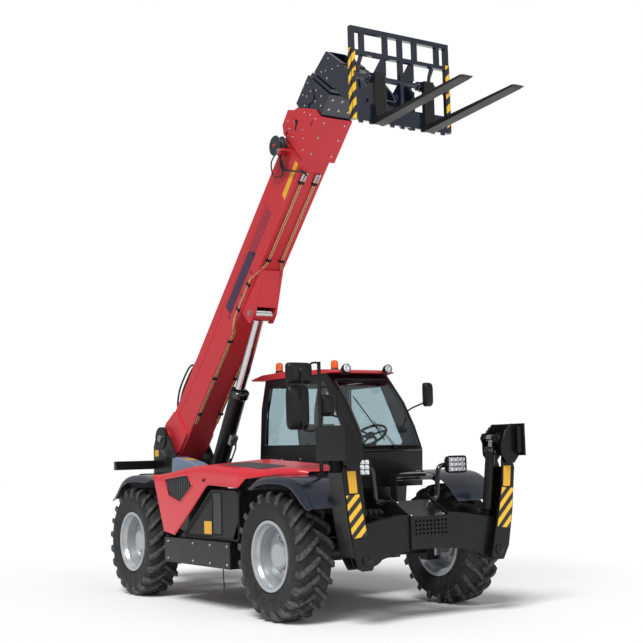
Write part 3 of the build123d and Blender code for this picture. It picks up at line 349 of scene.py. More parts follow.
def side_slab(outline: Outline, x0: float, x1: float) -> Part:
    """An outline of y and z from the front axle, carried across from x0 to x1."""
    return slab(outline, at(x0, 0, 0), BACKWARDS, UP, x1 - x0)


def boom_slab(outline: Outline, x0: float, x1: float) -> Part:
    """An outline of s and t, carried across the boom between two x."""
    return slab(outline, on_boom(0, 0, max(x0, x1)), BOOM_ALONG, BOOM_OUT, abs(x1 - x0))


def boom_box(s0: float, s1: float, t0: float, t1: float, x0: float, x1: float) -> Part:
    """A block that lies with the boom."""
    return boom_slab(rectangle(s0, s1, t0, t1), x0, x1)


def bolt(place: np.ndarray, axis: Vec, size: float = 0.011) -> Part:
    """A hexagon head on its washer: a six-step turned profile.

    Args:
        place: the middle of the washer.
        axis: the way the head points.
        size: the head's half width over its corners.

    Returns:
        Points and faces.
    """
    washer, top = 0.1 * size, 0.75 * size
    rim = [(1.3 * size, -washer), (1.3 * size, washer), (size, washer), (size, 0.6 * size)]
    return turned([*rim, (0.8 * size, top), (ON_AXIS, top)], place, axis, 6)


def joined(parts: list[Part]) -> Part:
    """Several shapes as one.

    Args:
        parts: the shapes.

    Returns:
        All their points and faces.
    """
    points, faces, start = [], [], 0
    for p, f in parts:
        points.append(p)
        faces.extend([[start + k for k in face] for face in f])
        start += len(p)
    return np.vstack(points), faces


def bolts(spots: Places, axis: Vec, size: float) -> Part:
    """Bolts of one size and direction as one shape."""
    return joined([bolt(spot, axis, size) for spot in spots])


def dome(centre: np.ndarray, half: tuple, profile: Outline, power: float = 5.0, steps: int = 40) -> Part:
    """A moulded shape that bulges forwards: rings of one superellipse, each scaled and set at its own height.

    A ring's point at angle a is (|cos a|^(2/p) * half_x * r, |sin a|^(2/p) * half_z * r) with the signs of the
    cosine and the sine, h in front of the centre.

    Args:
        centre: the middle of the base.
        half: half width and half height.
        profile: (r, h) pairs from one centre point to the other.
        power: how square the outline is.
        steps: points in a ring.

    Returns:
        A closed shape.
    """
    a = np.linspace(0, FULL_TURN, steps, endpoint=False)
    ring_x = np.sign(np.cos(a)) * np.abs(np.cos(a)) ** (2 / power) * half[0]
    ring_z = np.sign(np.sin(a)) * np.abs(np.sin(a)) ** (2 / power) * half[1]
    r, h = np.array(profile).T
    r = np.maximum(r, THIN_RING)
    ring = ring_x[None, :, None] * ACROSS + ring_z[None, :, None] * UP
    points = r[:, None, None] * ring - h[:, None, None] * BACKWARDS
    faces = grid_faces(len(r), steps, wrap_columns=True).tolist()
    start, end = np.arange(steps), np.arange(steps) + steps * (len(r) - 1)
    return points.reshape(-1, 3) + centre, [*faces, start[::-1].tolist(), end.tolist()]


def shell_part(outer: np.ndarray, wall: float) -> Part:
    """A closed shell of even wall from a grid of points: each inner point lies one wall below its outer one.

    The inward direction at a point is the cross product of the grid's two tangents there.

    Args:
        outer: rows by columns of points, the outer skin.
        wall: its thickness; the sign picks the side.

    Returns:
        Points and faces, with the rim closed all round.
    """
    along, over = np.gradient(outer, axis=0), np.gradient(outer, axis=1)
    normal = np.cross(along, over)
    normal /= np.linalg.norm(normal, axis=2)[..., None] + 1e-12
    rows, columns = outer.shape[:2]
    inner = outer - normal * wall
    faces = grid_faces(rows, columns)
    size = rows * columns
    index = np.arange(size).reshape(rows, columns)
    rim = np.concatenate([index[0, :-1], index[:-1, -1], index[-1, :0:-1], index[:0:-1, 0]])
    following = np.roll(rim, -1)
    border = np.stack([rim, rim + size, following + size, following], axis=1)
    every = np.vstack([faces, faces[:, ::-1] + size, border[:, ::-1]])
    return np.vstack([outer.reshape(-1, 3), inner.reshape(-1, 3)]), every.tolist()


# ------------------------------------------------------------------ finishes
class Tree:
    """A shader's node tree with short ways to add and feed its nodes."""

    def __init__(self, tree: bpy.types.NodeTree) -> None:
        """Keeps the tree."""
        self.tree = tree

    def fill(self, node: bpy.types.Node, inputs: dict) -> None:
        """Feeds a node.

        Args:
            node: the node.
            inputs: a socket to link, or a number or colour to set, for each input by name or number.
        """
        for key, value in inputs.items():
            if isinstance(value, bpy.types.NodeSocket):
                self.tree.links.new(value, node.inputs[key])
            else:
                node.inputs[key].default_value = value

    def add(self, kind: str, inputs: dict | None = None, **settings: object) -> bpy.types.Node:
        """Adds a node.

        Args:
            kind: the node's type.
            inputs: what feeds its inputs, by name or number.
            **settings: the node's own properties.

        Returns:
            The node.
        """
        node = self.tree.nodes.new(kind)
        for key, value in settings.items():
            setattr(node, key, value)
        self.fill(node, inputs or {})
        return node

    def reckon(self, operation: str, a: object, b: object, clamp: bool = False) -> bpy.types.NodeSocket:
        """A sum on two sockets or numbers."""
        return self.add("ShaderNodeMath", {0: a, 1: b}, operation=operation, use_clamp=clamp).outputs[0]

    def weathered(self, inputs: dict) -> bpy.types.Node:
        """The weathering group, fed."""
        return self.add("ShaderNodeGroup", inputs, node_tree=weathering_group())


def blank_material(name: str) -> tuple[bpy.types.Material, Tree, bpy.types.Node]:
    """A new material, its node tree and its shader."""
    material = bpy.data.materials.new(name)
    material.use_nodes = True
    return material, Tree(material.node_tree), material.node_tree.nodes["Principled BSDF"]


def weathering_group() -> bpy.types.NodeTree:
    """Paint that varies: broad mottling, fine grain for the bump, and dust low down and in patches.

    The mottling is (noise - 0.5) * mottle; the colour is scaled by 1 + 2 * mottling. Dust is
    (0.2 + 0.8 * (1 - z/height)) * clamp(2.2 * (noise - 0.35)) * amount, and mixes in its own colour. The
    roughness grows by the mottling and by 0.45 of the dust.

    Returns:
        The node group, with colour, roughness and height outputs.
    """
    found = bpy.data.node_groups.get("weathering")
    if found:
        return found
    group = bpy.data.node_groups.new("weathering", "ShaderNodeTree")
    colour, number = "NodeSocketColor", "NodeSocketFloat"
    for name, kind, value in (
        ("Colour", colour, (0.5, 0.5, 0.5, 1)), ("Dust Colour", colour, (0.3, 0.26, 0.21, 1)),
        ("Mottle", number, 0.1), ("Scale", number, 3.0), ("Grain", number, 200.0),
        ("Dust", number, 0.2), ("Dust Height", number, 0.9), ("Roughness", number, 0.4),
    ):
        group.interface.new_socket(name=name, in_out="INPUT", socket_type=kind).default_value = value
    for name, kind in (("Colour", colour), ("Roughness", number), ("Height", number)):
        group.interface.new_socket(name=name, in_out="OUTPUT", socket_type=kind)
    tree = Tree(group)
    given, place = tree.add("NodeGroupInput").outputs, tree.add("ShaderNodeTexCoord").outputs["Object"]

    def noise(scale: bpy.types.NodeSocket, detail: float) -> bpy.types.NodeSocket:
        """A noise on the piece's own coordinates."""
        inputs = {"Detail": detail, "Vector": place, "Scale": scale}
        return tree.add("ShaderNodeTexNoise", inputs).outputs["Fac"]

    broad = tree.reckon("SUBTRACT", noise(given["Scale"], 5.0), 0.5)
    spread = tree.reckon("MULTIPLY", broad, given["Mottle"])
    gain = tree.reckon("ADD", tree.reckon("MULTIPLY", spread, 2.0), 1.0)
    shade = tree.add("ShaderNodeVectorMath", {0: given["Colour"], "Scale": gain}, operation="SCALE")
    height = tree.add("ShaderNodeSeparateXYZ", {0: place}).outputs["Z"]
    low = tree.reckon("SUBTRACT", 1.0, tree.reckon("DIVIDE", height, given["Dust Height"]), True)
    patch = noise(tree.reckon("MULTIPLY", given["Scale"], 4.0), 6.0)
    ragged = tree.reckon("MULTIPLY", tree.reckon("SUBTRACT", patch, 0.35), 2.2, True)
    base = tree.reckon("ADD", tree.reckon("MULTIPLY", low, 0.8), 0.2)
    dust = tree.reckon("MULTIPLY", tree.reckon("MULTIPLY", base, ragged), given["Dust"], True)
    mix = tree.add(
        "ShaderNodeMix", {"Factor": dust, "A": shade.outputs[0], "B": given["Dust Colour"]}, data_type="RGBA",
    )
    rough = tree.reckon("ADD", given["Roughness"], spread)
    rough = tree.reckon("ADD", rough, tree.reckon("MULTIPLY", dust, 0.45), True)
    tree.add("NodeGroupOutput", {
        "Colour": mix.outputs["Result"], "Roughness": rough, "Height": noise(given["Grain"], 3.0),
    })
    return group


@dataclass(frozen=True)
class Coating:
    """What every finish shares: its name and the record's material slot of the pieces that wear it."""

    name: str
    slot: str = field(default="frame_black", kw_only=True)

    def material(self) -> bpy.types.Material:
        """The finish as a material, made once."""
        found = bpy.data.materials.get(self.name)
        if found:
            return found
        material, tree, shader = blank_material(self.name)
        self.paint(tree, shader)
        return material

    def paint(self, tree: Tree, shader: bpy.types.Node) -> None:
        """Feeds the shader; each kind of finish says how."""
        raise NotImplementedError


@dataclass(frozen=True)
class Finish(Coating):
    """A painted, moulded, cast or rubber surface with its variation."""

    colour: Vec
    roughness: float = 0.4
    metallic: float = 0.0
    coat: float = 0.0
    coat_roughness: float = 0.08
    mottle: float = 0.08
    scale: float = 3.0
    grain: float = 250.0
    bump: float = 0.05
    bump_depth: float = 0.002
    dust: float = 0.15
    dust_height: float = 1.0
    dust_colour: Vec = (0.30, 0.25, 0.19)
    specular: float = 0.5

    def paint(self, tree: Tree, shader: bpy.types.Node) -> None:
        """Feeds the shader from the weathering group, with the constants on its own sockets.

        Args:
            tree: the material's tree.
            shader: its shader.
        """
        worn = tree.weathered({
            "Colour": (*self.colour, 1), "Dust Colour": (*self.dust_colour, 1), "Mottle": self.mottle,
            "Scale": self.scale, "Grain": self.grain, "Dust": self.dust, "Dust Height": self.dust_height,
            "Roughness": self.roughness,
        }).outputs
        grain = {"Strength": self.bump, "Distance": self.bump_depth, "Height": worn["Height"]}
        tree.fill(shader, {
            "Base Color": worn["Colour"], "Roughness": worn["Roughness"], "Metallic": self.metallic,
            "Coat Weight": self.coat, "Coat Roughness": self.coat_roughness,
            "Specular IOR Level": self.specular,
            "Normal": tree.add("ShaderNodeBump", grain).outputs["Normal"],
        })


@dataclass(frozen=True)
class Stripes(Coating):
    """Hazard stripes, slanting bands of two colours across the piece."""

    direction: Vec
    period: float
    share: float = 0.5
    light: Vec = (0.86, 0.50, 0.02)
    dark: Vec = (0.015, 0.015, 0.018)
    mottle: float = 0.06
    dust: float = 0.15

    def paint(self, tree: Tree, shader: bpy.types.Node) -> None:
        """Feeds the shader: the part of each period along the direction that is below share is light.

        Args:
            tree: the material's tree.
            shader: its shader.
        """
        place = tree.add("ShaderNodeTexCoord").outputs["Object"]
        step = [c / self.period for c in self.direction]
        along = tree.add("ShaderNodeVectorMath", {0: place, 1: step}, operation="DOT_PRODUCT")
        band = tree.reckon("LESS_THAN", tree.reckon("FRACT", along.outputs["Value"], 0.0), self.share)
        colours = {"A": (*self.dark, 1), "B": (*self.light, 1), "Factor": band}
        mix = tree.add("ShaderNodeMix", colours, data_type="RGBA")
        inputs = {"Colour": mix.outputs["Result"], "Mottle": self.mottle, "Dust": self.dust}
        worn = tree.weathered(inputs).outputs
        tree.fill(shader, {"Base Color": worn["Colour"], "Roughness": worn["Roughness"]})


@dataclass(frozen=True)
class Clear(Coating):
    """Clear, thin glass with a faint variation in its polish."""

    colour: Vec = (0.84, 0.90, 0.91)
    roughness: float = 0.01
    index: float = 1.45
    scale: float = 4.0

    def paint(self, tree: Tree, shader: bpy.types.Node) -> None:
        """Feeds the shader: its roughness is noise * 2 * roughness.

        Args:
            tree: the material's tree.
            shader: its shader.
        """
        place = tree.add("ShaderNodeTexCoord").outputs["Object"]
        noise = tree.add("ShaderNodeTexNoise", {"Scale": self.scale, "Vector": place}).outputs["Fac"]
        tree.fill(shader, {
            "Base Color": (*self.colour, 1), "Transmission Weight": 1.0, "IOR": self.index,
            "Roughness": tree.reckon("MULTIPLY", noise, self.roughness * 2),
        })


def red(name: str, colour: Vec, roughness: float, **more: float) -> Finish:
    """A finish of the boom's and the hood's red family."""
    return Finish(name, colour, roughness, slot="boom_red", **more)


def moulded(name: str, colour: Vec, roughness: float, **more: float) -> Finish:
    """A finish of plastic or rubber parts."""
    return Finish(name, colour, roughness, slot="plastic_black", **more)


def bare(name: str, colour: Vec, roughness: float, slot: str = "steel", **more: float) -> Finish:
    """A finish of unpainted metal."""
    return Finish(name, colour, roughness, slot=slot, **more)


class Look(Enum):
    """Every finish on the machine."""

    # The boom's red is the hood's red painted darker, as painted shade; the cab roof and the boom's red trim
    # wear it too.
    BOOM_RED = red("boom_red", (0.50, 0.012, 0.026), 0.34, coat=0.20, mottle=0.06, dust=0.05)
    HOOD_RED = red("hood_red", (0.62, 0.022, 0.036), 0.32, coat=0.25, mottle=0.05, dust=0.04)
    BAND = red("plum_band", (0.050, 0.016, 0.060), 0.35, coat=0.2, dust=0.04)
    PLUG = red("dark_red_plug", (0.16, 0.004, 0.010), 0.4, dust=0.04)
    BLUE_BLACK = Finish("blue_black", (0.006, 0.011, 0.026), 0.18, coat=0.8, mottle=0.12, dust=0.04)
    BLACK = Finish(
        "satin_black", (0.005, 0.005, 0.006), 0.34, coat=0.08, mottle=0.15, dust=0.05, specular=0.28,
    )
    GLOSS = Finish("gloss_black", (0.004, 0.005, 0.007), 0.16, coat=0.6, mottle=0.1, dust=0.03)
    BLUE_GREY = Finish("blue_grey_cover", (0.16, 0.22, 0.33), 0.4, coat=0.2, dust=0.06)
    YELLOW = Finish("lift_yellow", (0.72, 0.38, 0.02), 0.4, dust=0.05)
    FORK = Finish("fork_black", (0.010, 0.009, 0.009), 0.42, metallic=0.3, mottle=0.25, dust=0.06)
    RIM = Finish("rim_silver", (0.42, 0.45, 0.47), 0.30, metallic=0.45, mottle=0.08, dust=0.10)
    BLACK_PLASTIC = moulded(
        "black_plastic", (0.008, 0.008, 0.009), 0.40, grain=500.0, bump=0.15, dust=0.04, specular=0.28,
    )
    GREY = moulded("grey_cover", (0.060, 0.064, 0.068), 0.45, dust=0.08)
    RUBBER = moulded("hose_rubber", (0.007, 0.007, 0.007), 0.5, grain=600.0, bump=0.2, dust=0.08)
    REEL = moulded("reel_grey", (0.020, 0.025, 0.030), 0.45, dust=0.08)
    AMBER = moulded("amber_lens", (0.80, 0.13, 0.01), 0.2, coat=0.6, dust=0.0)
    STEEL = bare("bare_steel", (0.34, 0.35, 0.37), 0.32, metallic=0.9, mottle=0.1, dust=0.08)
    ZINC = bare("zinc_bolts", (0.55, 0.54, 0.52), 0.35, metallic=0.8, dust=0.05)
    PIPE = bare("olive_pipe", (0.62, 0.50, 0.26), 0.26, metallic=0.8, dust=0.03)
    CHROME = bare("hard_chrome", (0.60, 0.61, 0.63), 0.16, "chrome", metallic=1.0, mottle=0.04, dust=0.0)
    LAMP = bare("lamp_reflector", (0.85, 0.87, 0.9), 0.15, "chrome", metallic=0.7, dust=0.0)
    MIRROR = bare("mirror_glass", (0.80, 0.83, 0.86), 0.04, "chrome", metallic=1.0, mottle=0.02, dust=0.0)
    # The sidewall's grey dust patches are partly real dust, partly a painted sheen.
    TYRE = Finish(
        "tyre_side", (0.012, 0.012, 0.013), 0.62, mottle=0.3, scale=6.0, grain=160.0, bump=0.25, dust=0.28,
        dust_colour=(0.16, 0.155, 0.15), specular=0.35, slot="tyre",
    )
    # The lugs' light grey dust reaches right up to their tops: partly real dust, partly a painted highlight on
    # the tread.
    LUG = Finish(
        "tyre_lug", (0.016, 0.016, 0.016), 0.62, mottle=0.3, scale=8.0, grain=120.0, bump=0.3, dust=0.65,
        dust_height=6.0, dust_colour=(0.19, 0.18, 0.165), slot="tyre",
    )
    CAST = Finish(
        "dark_casting", (0.010, 0.010, 0.011), 0.5, grain=90.0, bump=0.35, specular=0.3, slot="cast",
    )
    SEAT = Finish(
        "seat_cloth", (0.012, 0.013, 0.017), 0.85, grain=700.0, bump=0.4, dust=0.04, slot="seat_fabric",
    )
    GLASS = Clear("window_glass", (0.58, 0.68, 0.71))
    CARRIAGE_BANDS = Stripes("carriage_bands", (-0.577, 0.577, 0.577), 0.087)
    ARM_BANDS = Stripes("arm_bands", (0.70, 0.0, -0.71), 0.086)


# ------------------------------------------------------------------ pieces
def placed(name: str, data: bpy.types.ID) -> bpy.types.Object:
    """A new object of the scene that shows the data."""
    thing = bpy.data.objects.new(name, data)
    bpy.context.scene.collection.objects.link(thing)
    return thing


def mesh_of(name: str, part: Part) -> bpy.types.Mesh:
    """A new mesh.

    Args:
        name: of the mesh.
        part: points and faces.

    Returns:
        The mesh.
    """
    points, faces = part
    mesh = bpy.data.meshes.new(name)
    mesh.from_pydata(points.tolist(), [], [list(f) for f in faces])
    mesh.update()
    return mesh


def smoothed(mesh: bpy.types.Mesh, angle: float) -> None:
    """Shades a mesh smoothly, with the edges past an angle in degrees kept sharp."""
    mesh.shade_smooth()
    mesh.set_sharp_from_angle(angle=math.radians(angle))


def mounted(piece: bpy.types.Object, look: Look, body: str, bevel: float) -> bpy.types.Object:
    """Rounds a piece's edges, gives it its finish and rides it on its body.

    Args:
        piece: the piece.
        look: its finish.
        body: the CAD body that carries it.
        bevel: width of a rounded edge, in metres, or 0 for none.

    Returns:
        The piece.
    """
    piece.data.materials.clear()
    piece.data.materials.append(look.value.material())
    if bevel:
        modifier = piece.modifiers.new("edges", "BEVEL")
        modifier.width = bevel
        modifier.segments = 2
        modifier.limit_method = "ANGLE"
        modifier.angle_limit = math.radians(CREASE_ANGLE)
    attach(piece, body)
    LOG.info("piece %s: %d faces", piece.name, len(piece.data.polygons))
    return piece


def emit(
    name: str, part: Part, look: Look, body: str = "chassis", angle: float = SHARP_ANGLE,
    bevel: float = 0.0,
) -> bpy.types.Object:
    """Makes a piece from points and faces.

    Args:
        name: of the piece.
        part: points and faces in the CAD frame.
        look: its finish.
        body: the CAD body that carries it.
        angle: edges sharper than this many degrees stay sharp.
        bevel: width of a rounded edge, in metres, or 0 for none.

    Returns:
        The new object.
    """
    piece = placed(name, mesh_of(name, part))
    smoothed(piece.data, angle)
    return mounted(piece, look, body, bevel)


def refined(node: str, look: Look, body: str = "chassis", bevel: float = 0.003) -> None:
    """Puts a copy of a CAD node in its place, with points merged, flat faces joined and edges rounded.

    Args:
        node: the CAD node's name.
        look: its finish.
        body: the body that carries it.
        bevel: the edges' round, in metres.
    """
    name = node + "_skin"
    mesh = bpy.data.meshes.new(name)
    work = bmesh.new()
    work.from_mesh(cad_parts[node].data)
    bmesh.ops.remove_doubles(work, verts=work.verts, dist=CAD_MERGE)
    bmesh.ops.dissolve_limit(work, angle_limit=math.radians(FLAT_ANGLE), verts=work.verts, edges=work.edges)
    work.to_mesh(mesh)
    work.free()
    smoothed(mesh, CREASE_ANGLE)
    piece = mounted(placed(name, mesh), look, body, bevel)
    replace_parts(piece, node)


def outward(piece: bpy.types.Object) -> bpy.types.Object:
    """Merges a closed piece's doubled points and turns its faces outwards.

    Args:
        piece: the piece.

    Returns:
        The same piece.
    """
    work = bmesh.new()
    work.from_mesh(piece.data)
    bmesh.ops.remove_doubles(work, verts=work.verts, dist=SKIN_MERGE)
    bmesh.ops.recalc_face_normals(work, faces=work.faces)
    work.to_mesh(piece.data)
    work.free()
    return piece


def carved(piece: bpy.types.Object, part: Part) -> None:
    """Cuts a closed shape out of a closed piece.

    Args:
        piece: what is cut.
        part: the shape to take away.
    """
    mesh = mesh_of("cutter", part)
    cutter = placed("cutter", mesh)
    modifier = piece.modifiers.new("cut", "BOOLEAN")
    modifier.operation = "DIFFERENCE"
    modifier.solver = "EXACT"
    modifier.object = cutter
    graph = bpy.context.evaluated_depsgraph_get()
    piece.data = bpy.data.meshes.new_from_object(piece.evaluated_get(graph))
    piece.modifiers.clear()
    smoothed(piece.data, SHARP_ANGLE)
    bpy.data.objects.remove(cutter)
    bpy.data.meshes.remove(mesh)


def dress(look: Look, *nodes: str) -> None:
    """Gives CAD nodes a finish."""
    for name in nodes:
        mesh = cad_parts[name].data
        mesh.materials.clear()
        mesh.materials.append(look.value.material())


# ------------------------------------------------------------------ wheels
@dataclass
class AtWheel:
    """A sub-assembly that belongs to one of the four wheels."""

    axle: Axle
    hand: Hand

    @property
    def side(self) -> int:
        """+1 on the machine's left, -1 on its right."""
        return self.hand.value

    @property
    def tag(self) -> str:
        """The wheel as it stands in the names of pieces."""
        return f"{self.axle.word}_{self.hand.word}"


@dataclass(frozen=True)
class BoltCircle:
    """Bolts spread evenly on a circle."""

    count: int
    first: float
    radius: float
    out: float
    size: float


@dataclass
class Wheel(AtWheel):
    """One wheel: the lugged tyre, and the nuts and cover bolts on its rim."""

    lugs: int = 21
    flare: float = 0.009
    nuts: BoltCircle = BoltCircle(count=10, first=0.0, radius=0.1675, out=0.027, size=0.016)
    cover_bolts: BoltCircle = BoltCircle(count=12, first=0.5, radius=0.12, out=0.066, size=0.007)
    outline: Outline = (
        (0.3135, 0.146), (0.336, 0.152), (0.342, 0.166), (0.356, 0.172), (0.385, 0.181), (0.43, 0.190),
        (0.47, 0.192), (0.505, 0.188), (0.535, 0.176), (0.558, 0.150), (0.569, 0.10), (0.572, 0.04),
    )
    lug: tuple[tuple[float, ...], ...] = (
        (-0.018, -0.018, 0.603, 0.566, 0.0, 0.020), (0.02, 0.02, 0.608, 0.566, 0.045, 0.019),
        (0.06, 0.06, 0.6085, 0.565, 0.10, 0.019), (0.10, 0.10, 0.6065, 0.563, 0.155, 0.020),
        (0.138, 0.135, 0.602, 0.555, 0.205, 0.022), (0.168, 0.158, 0.594, 0.543, 0.24, 0.025),
        (0.186, 0.170, 0.578, 0.525, 0.262, 0.026), (0.194, 0.176, 0.55, 0.505, 0.275, 0.026),
        (0.195, 0.180, 0.515, 0.490, 0.283, 0.024),
    )

    @property
    def centre(self) -> np.ndarray:
        """The middle of the wheel."""
        return at(self.side * TRACK_HALF, self.axle.value, TYRE_RADIUS)

    def carcass_part(self) -> Part:
        """The tyre's body: the outline of radius and width, mirrored and turned about the axle."""
        profile = [(r, -x) for r, x in self.outline] + [(r, x) for r, x in reversed(self.outline)]
        return turned(profile, self.centre, tuple(ACROSS), 96, closed=True)

    def lug_part(self) -> Part:
        """All lugs: each a bar from just past the tread's middle, slanting back and down the shoulder.

        Each row of the lug's table is one section: x at the top and at the foot, radius at the top and at
        the foot, turn, and half width w. Its four corners are the foot at -w - flare, the top at -w, the top
        at w and the foot at w + flare, each at the angle turn + w/radius. A lug's copies stand one pitch
        apart, and the other half of the tread has them mirrored, half a pitch on.

        Returns:
            Points and faces.
        """
        top_x, foot_x, top, foot, turn, half = np.array(self.lug).T
        corners = (
            (-half - self.flare, foot, foot_x), (-half, top, top_x), (half, top, top_x),
            (half + self.flare, foot, foot_x),
        )
        lines = [np.stack([x, turn + w / radius, radius], axis=1) for w, radius, x in corners]
        base = np.stack(lines, axis=1)
        rows = len(base)
        size = rows * len(corners)
        first = np.arange(rows - 1) * len(corners)
        ends = np.array([[0, 1, 2, 3], [size - 1, size - 2, size - 3, size - 4]])
        sole = np.stack([first + 3, first + 7, first + 4, first], axis=1)
        shell = np.vstack([grid_faces(rows, len(corners)), ends, sole])[:, ::-1]
        copies = (np.arange(self.lugs) * size)[:, None, None]
        points, faces = [], []
        for bank, (hand, offset) in enumerate(((1, 0.0), (-1, 0.5))):
            around = (np.arange(self.lugs) + offset) * FULL_TURN / self.lugs
            a = around[:, None, None] - self.side * base[None, ..., 1]
            r = np.broadcast_to(base[None, ..., 2], a.shape)
            x = np.broadcast_to(hand * base[None, ..., 0], a.shape)
            points.append(np.stack([x, np.cos(a) * r, np.sin(a) * r], axis=-1).reshape(-1, 3) + self.centre)
            local = shell if hand == self.side else shell[:, ::-1]
            faces.append((copies + bank * self.lugs * size + local[None]).reshape(-1, 4))
        return np.vstack(points), np.vstack(faces).tolist()

    def nut_part(self) -> Part:
        """The wheel nuts and the cover's bolts, each on its circle.

        Returns:
            Points and faces.
        """
        parts = []
        for ring in (self.nuts, self.cover_bolts):
            for k in range(ring.count):
                a = FULL_TURN * (k + ring.first) / ring.count
                spoke = ring.radius * np.array([0.0, math.cos(a), math.sin(a)])
                place = self.centre + spoke + self.side * ring.out * ACROSS
                parts.append(bolt(place, (self.side, 0, 0), ring.size))
        return joined(parts)

    def build(self) -> None:
        """Makes the wheel's pieces."""
        body = f"{self.tag}_wheel"
        tyre = emit(f"tyre_body_{self.tag}", self.carcass_part(), Look.TYRE, body, angle=50)
        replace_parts(tyre, f"tyre_{self.tag}")
        emit(f"tyre_lugs_{self.tag}", self.lug_part(), Look.LUG, body, angle=30, bevel=0.004)
        emit(f"wheel_nuts_{self.tag}", self.nut_part(), Look.ZINC, body, angle=30)
        dress(Look.RIM, f"rim_{self.tag}")


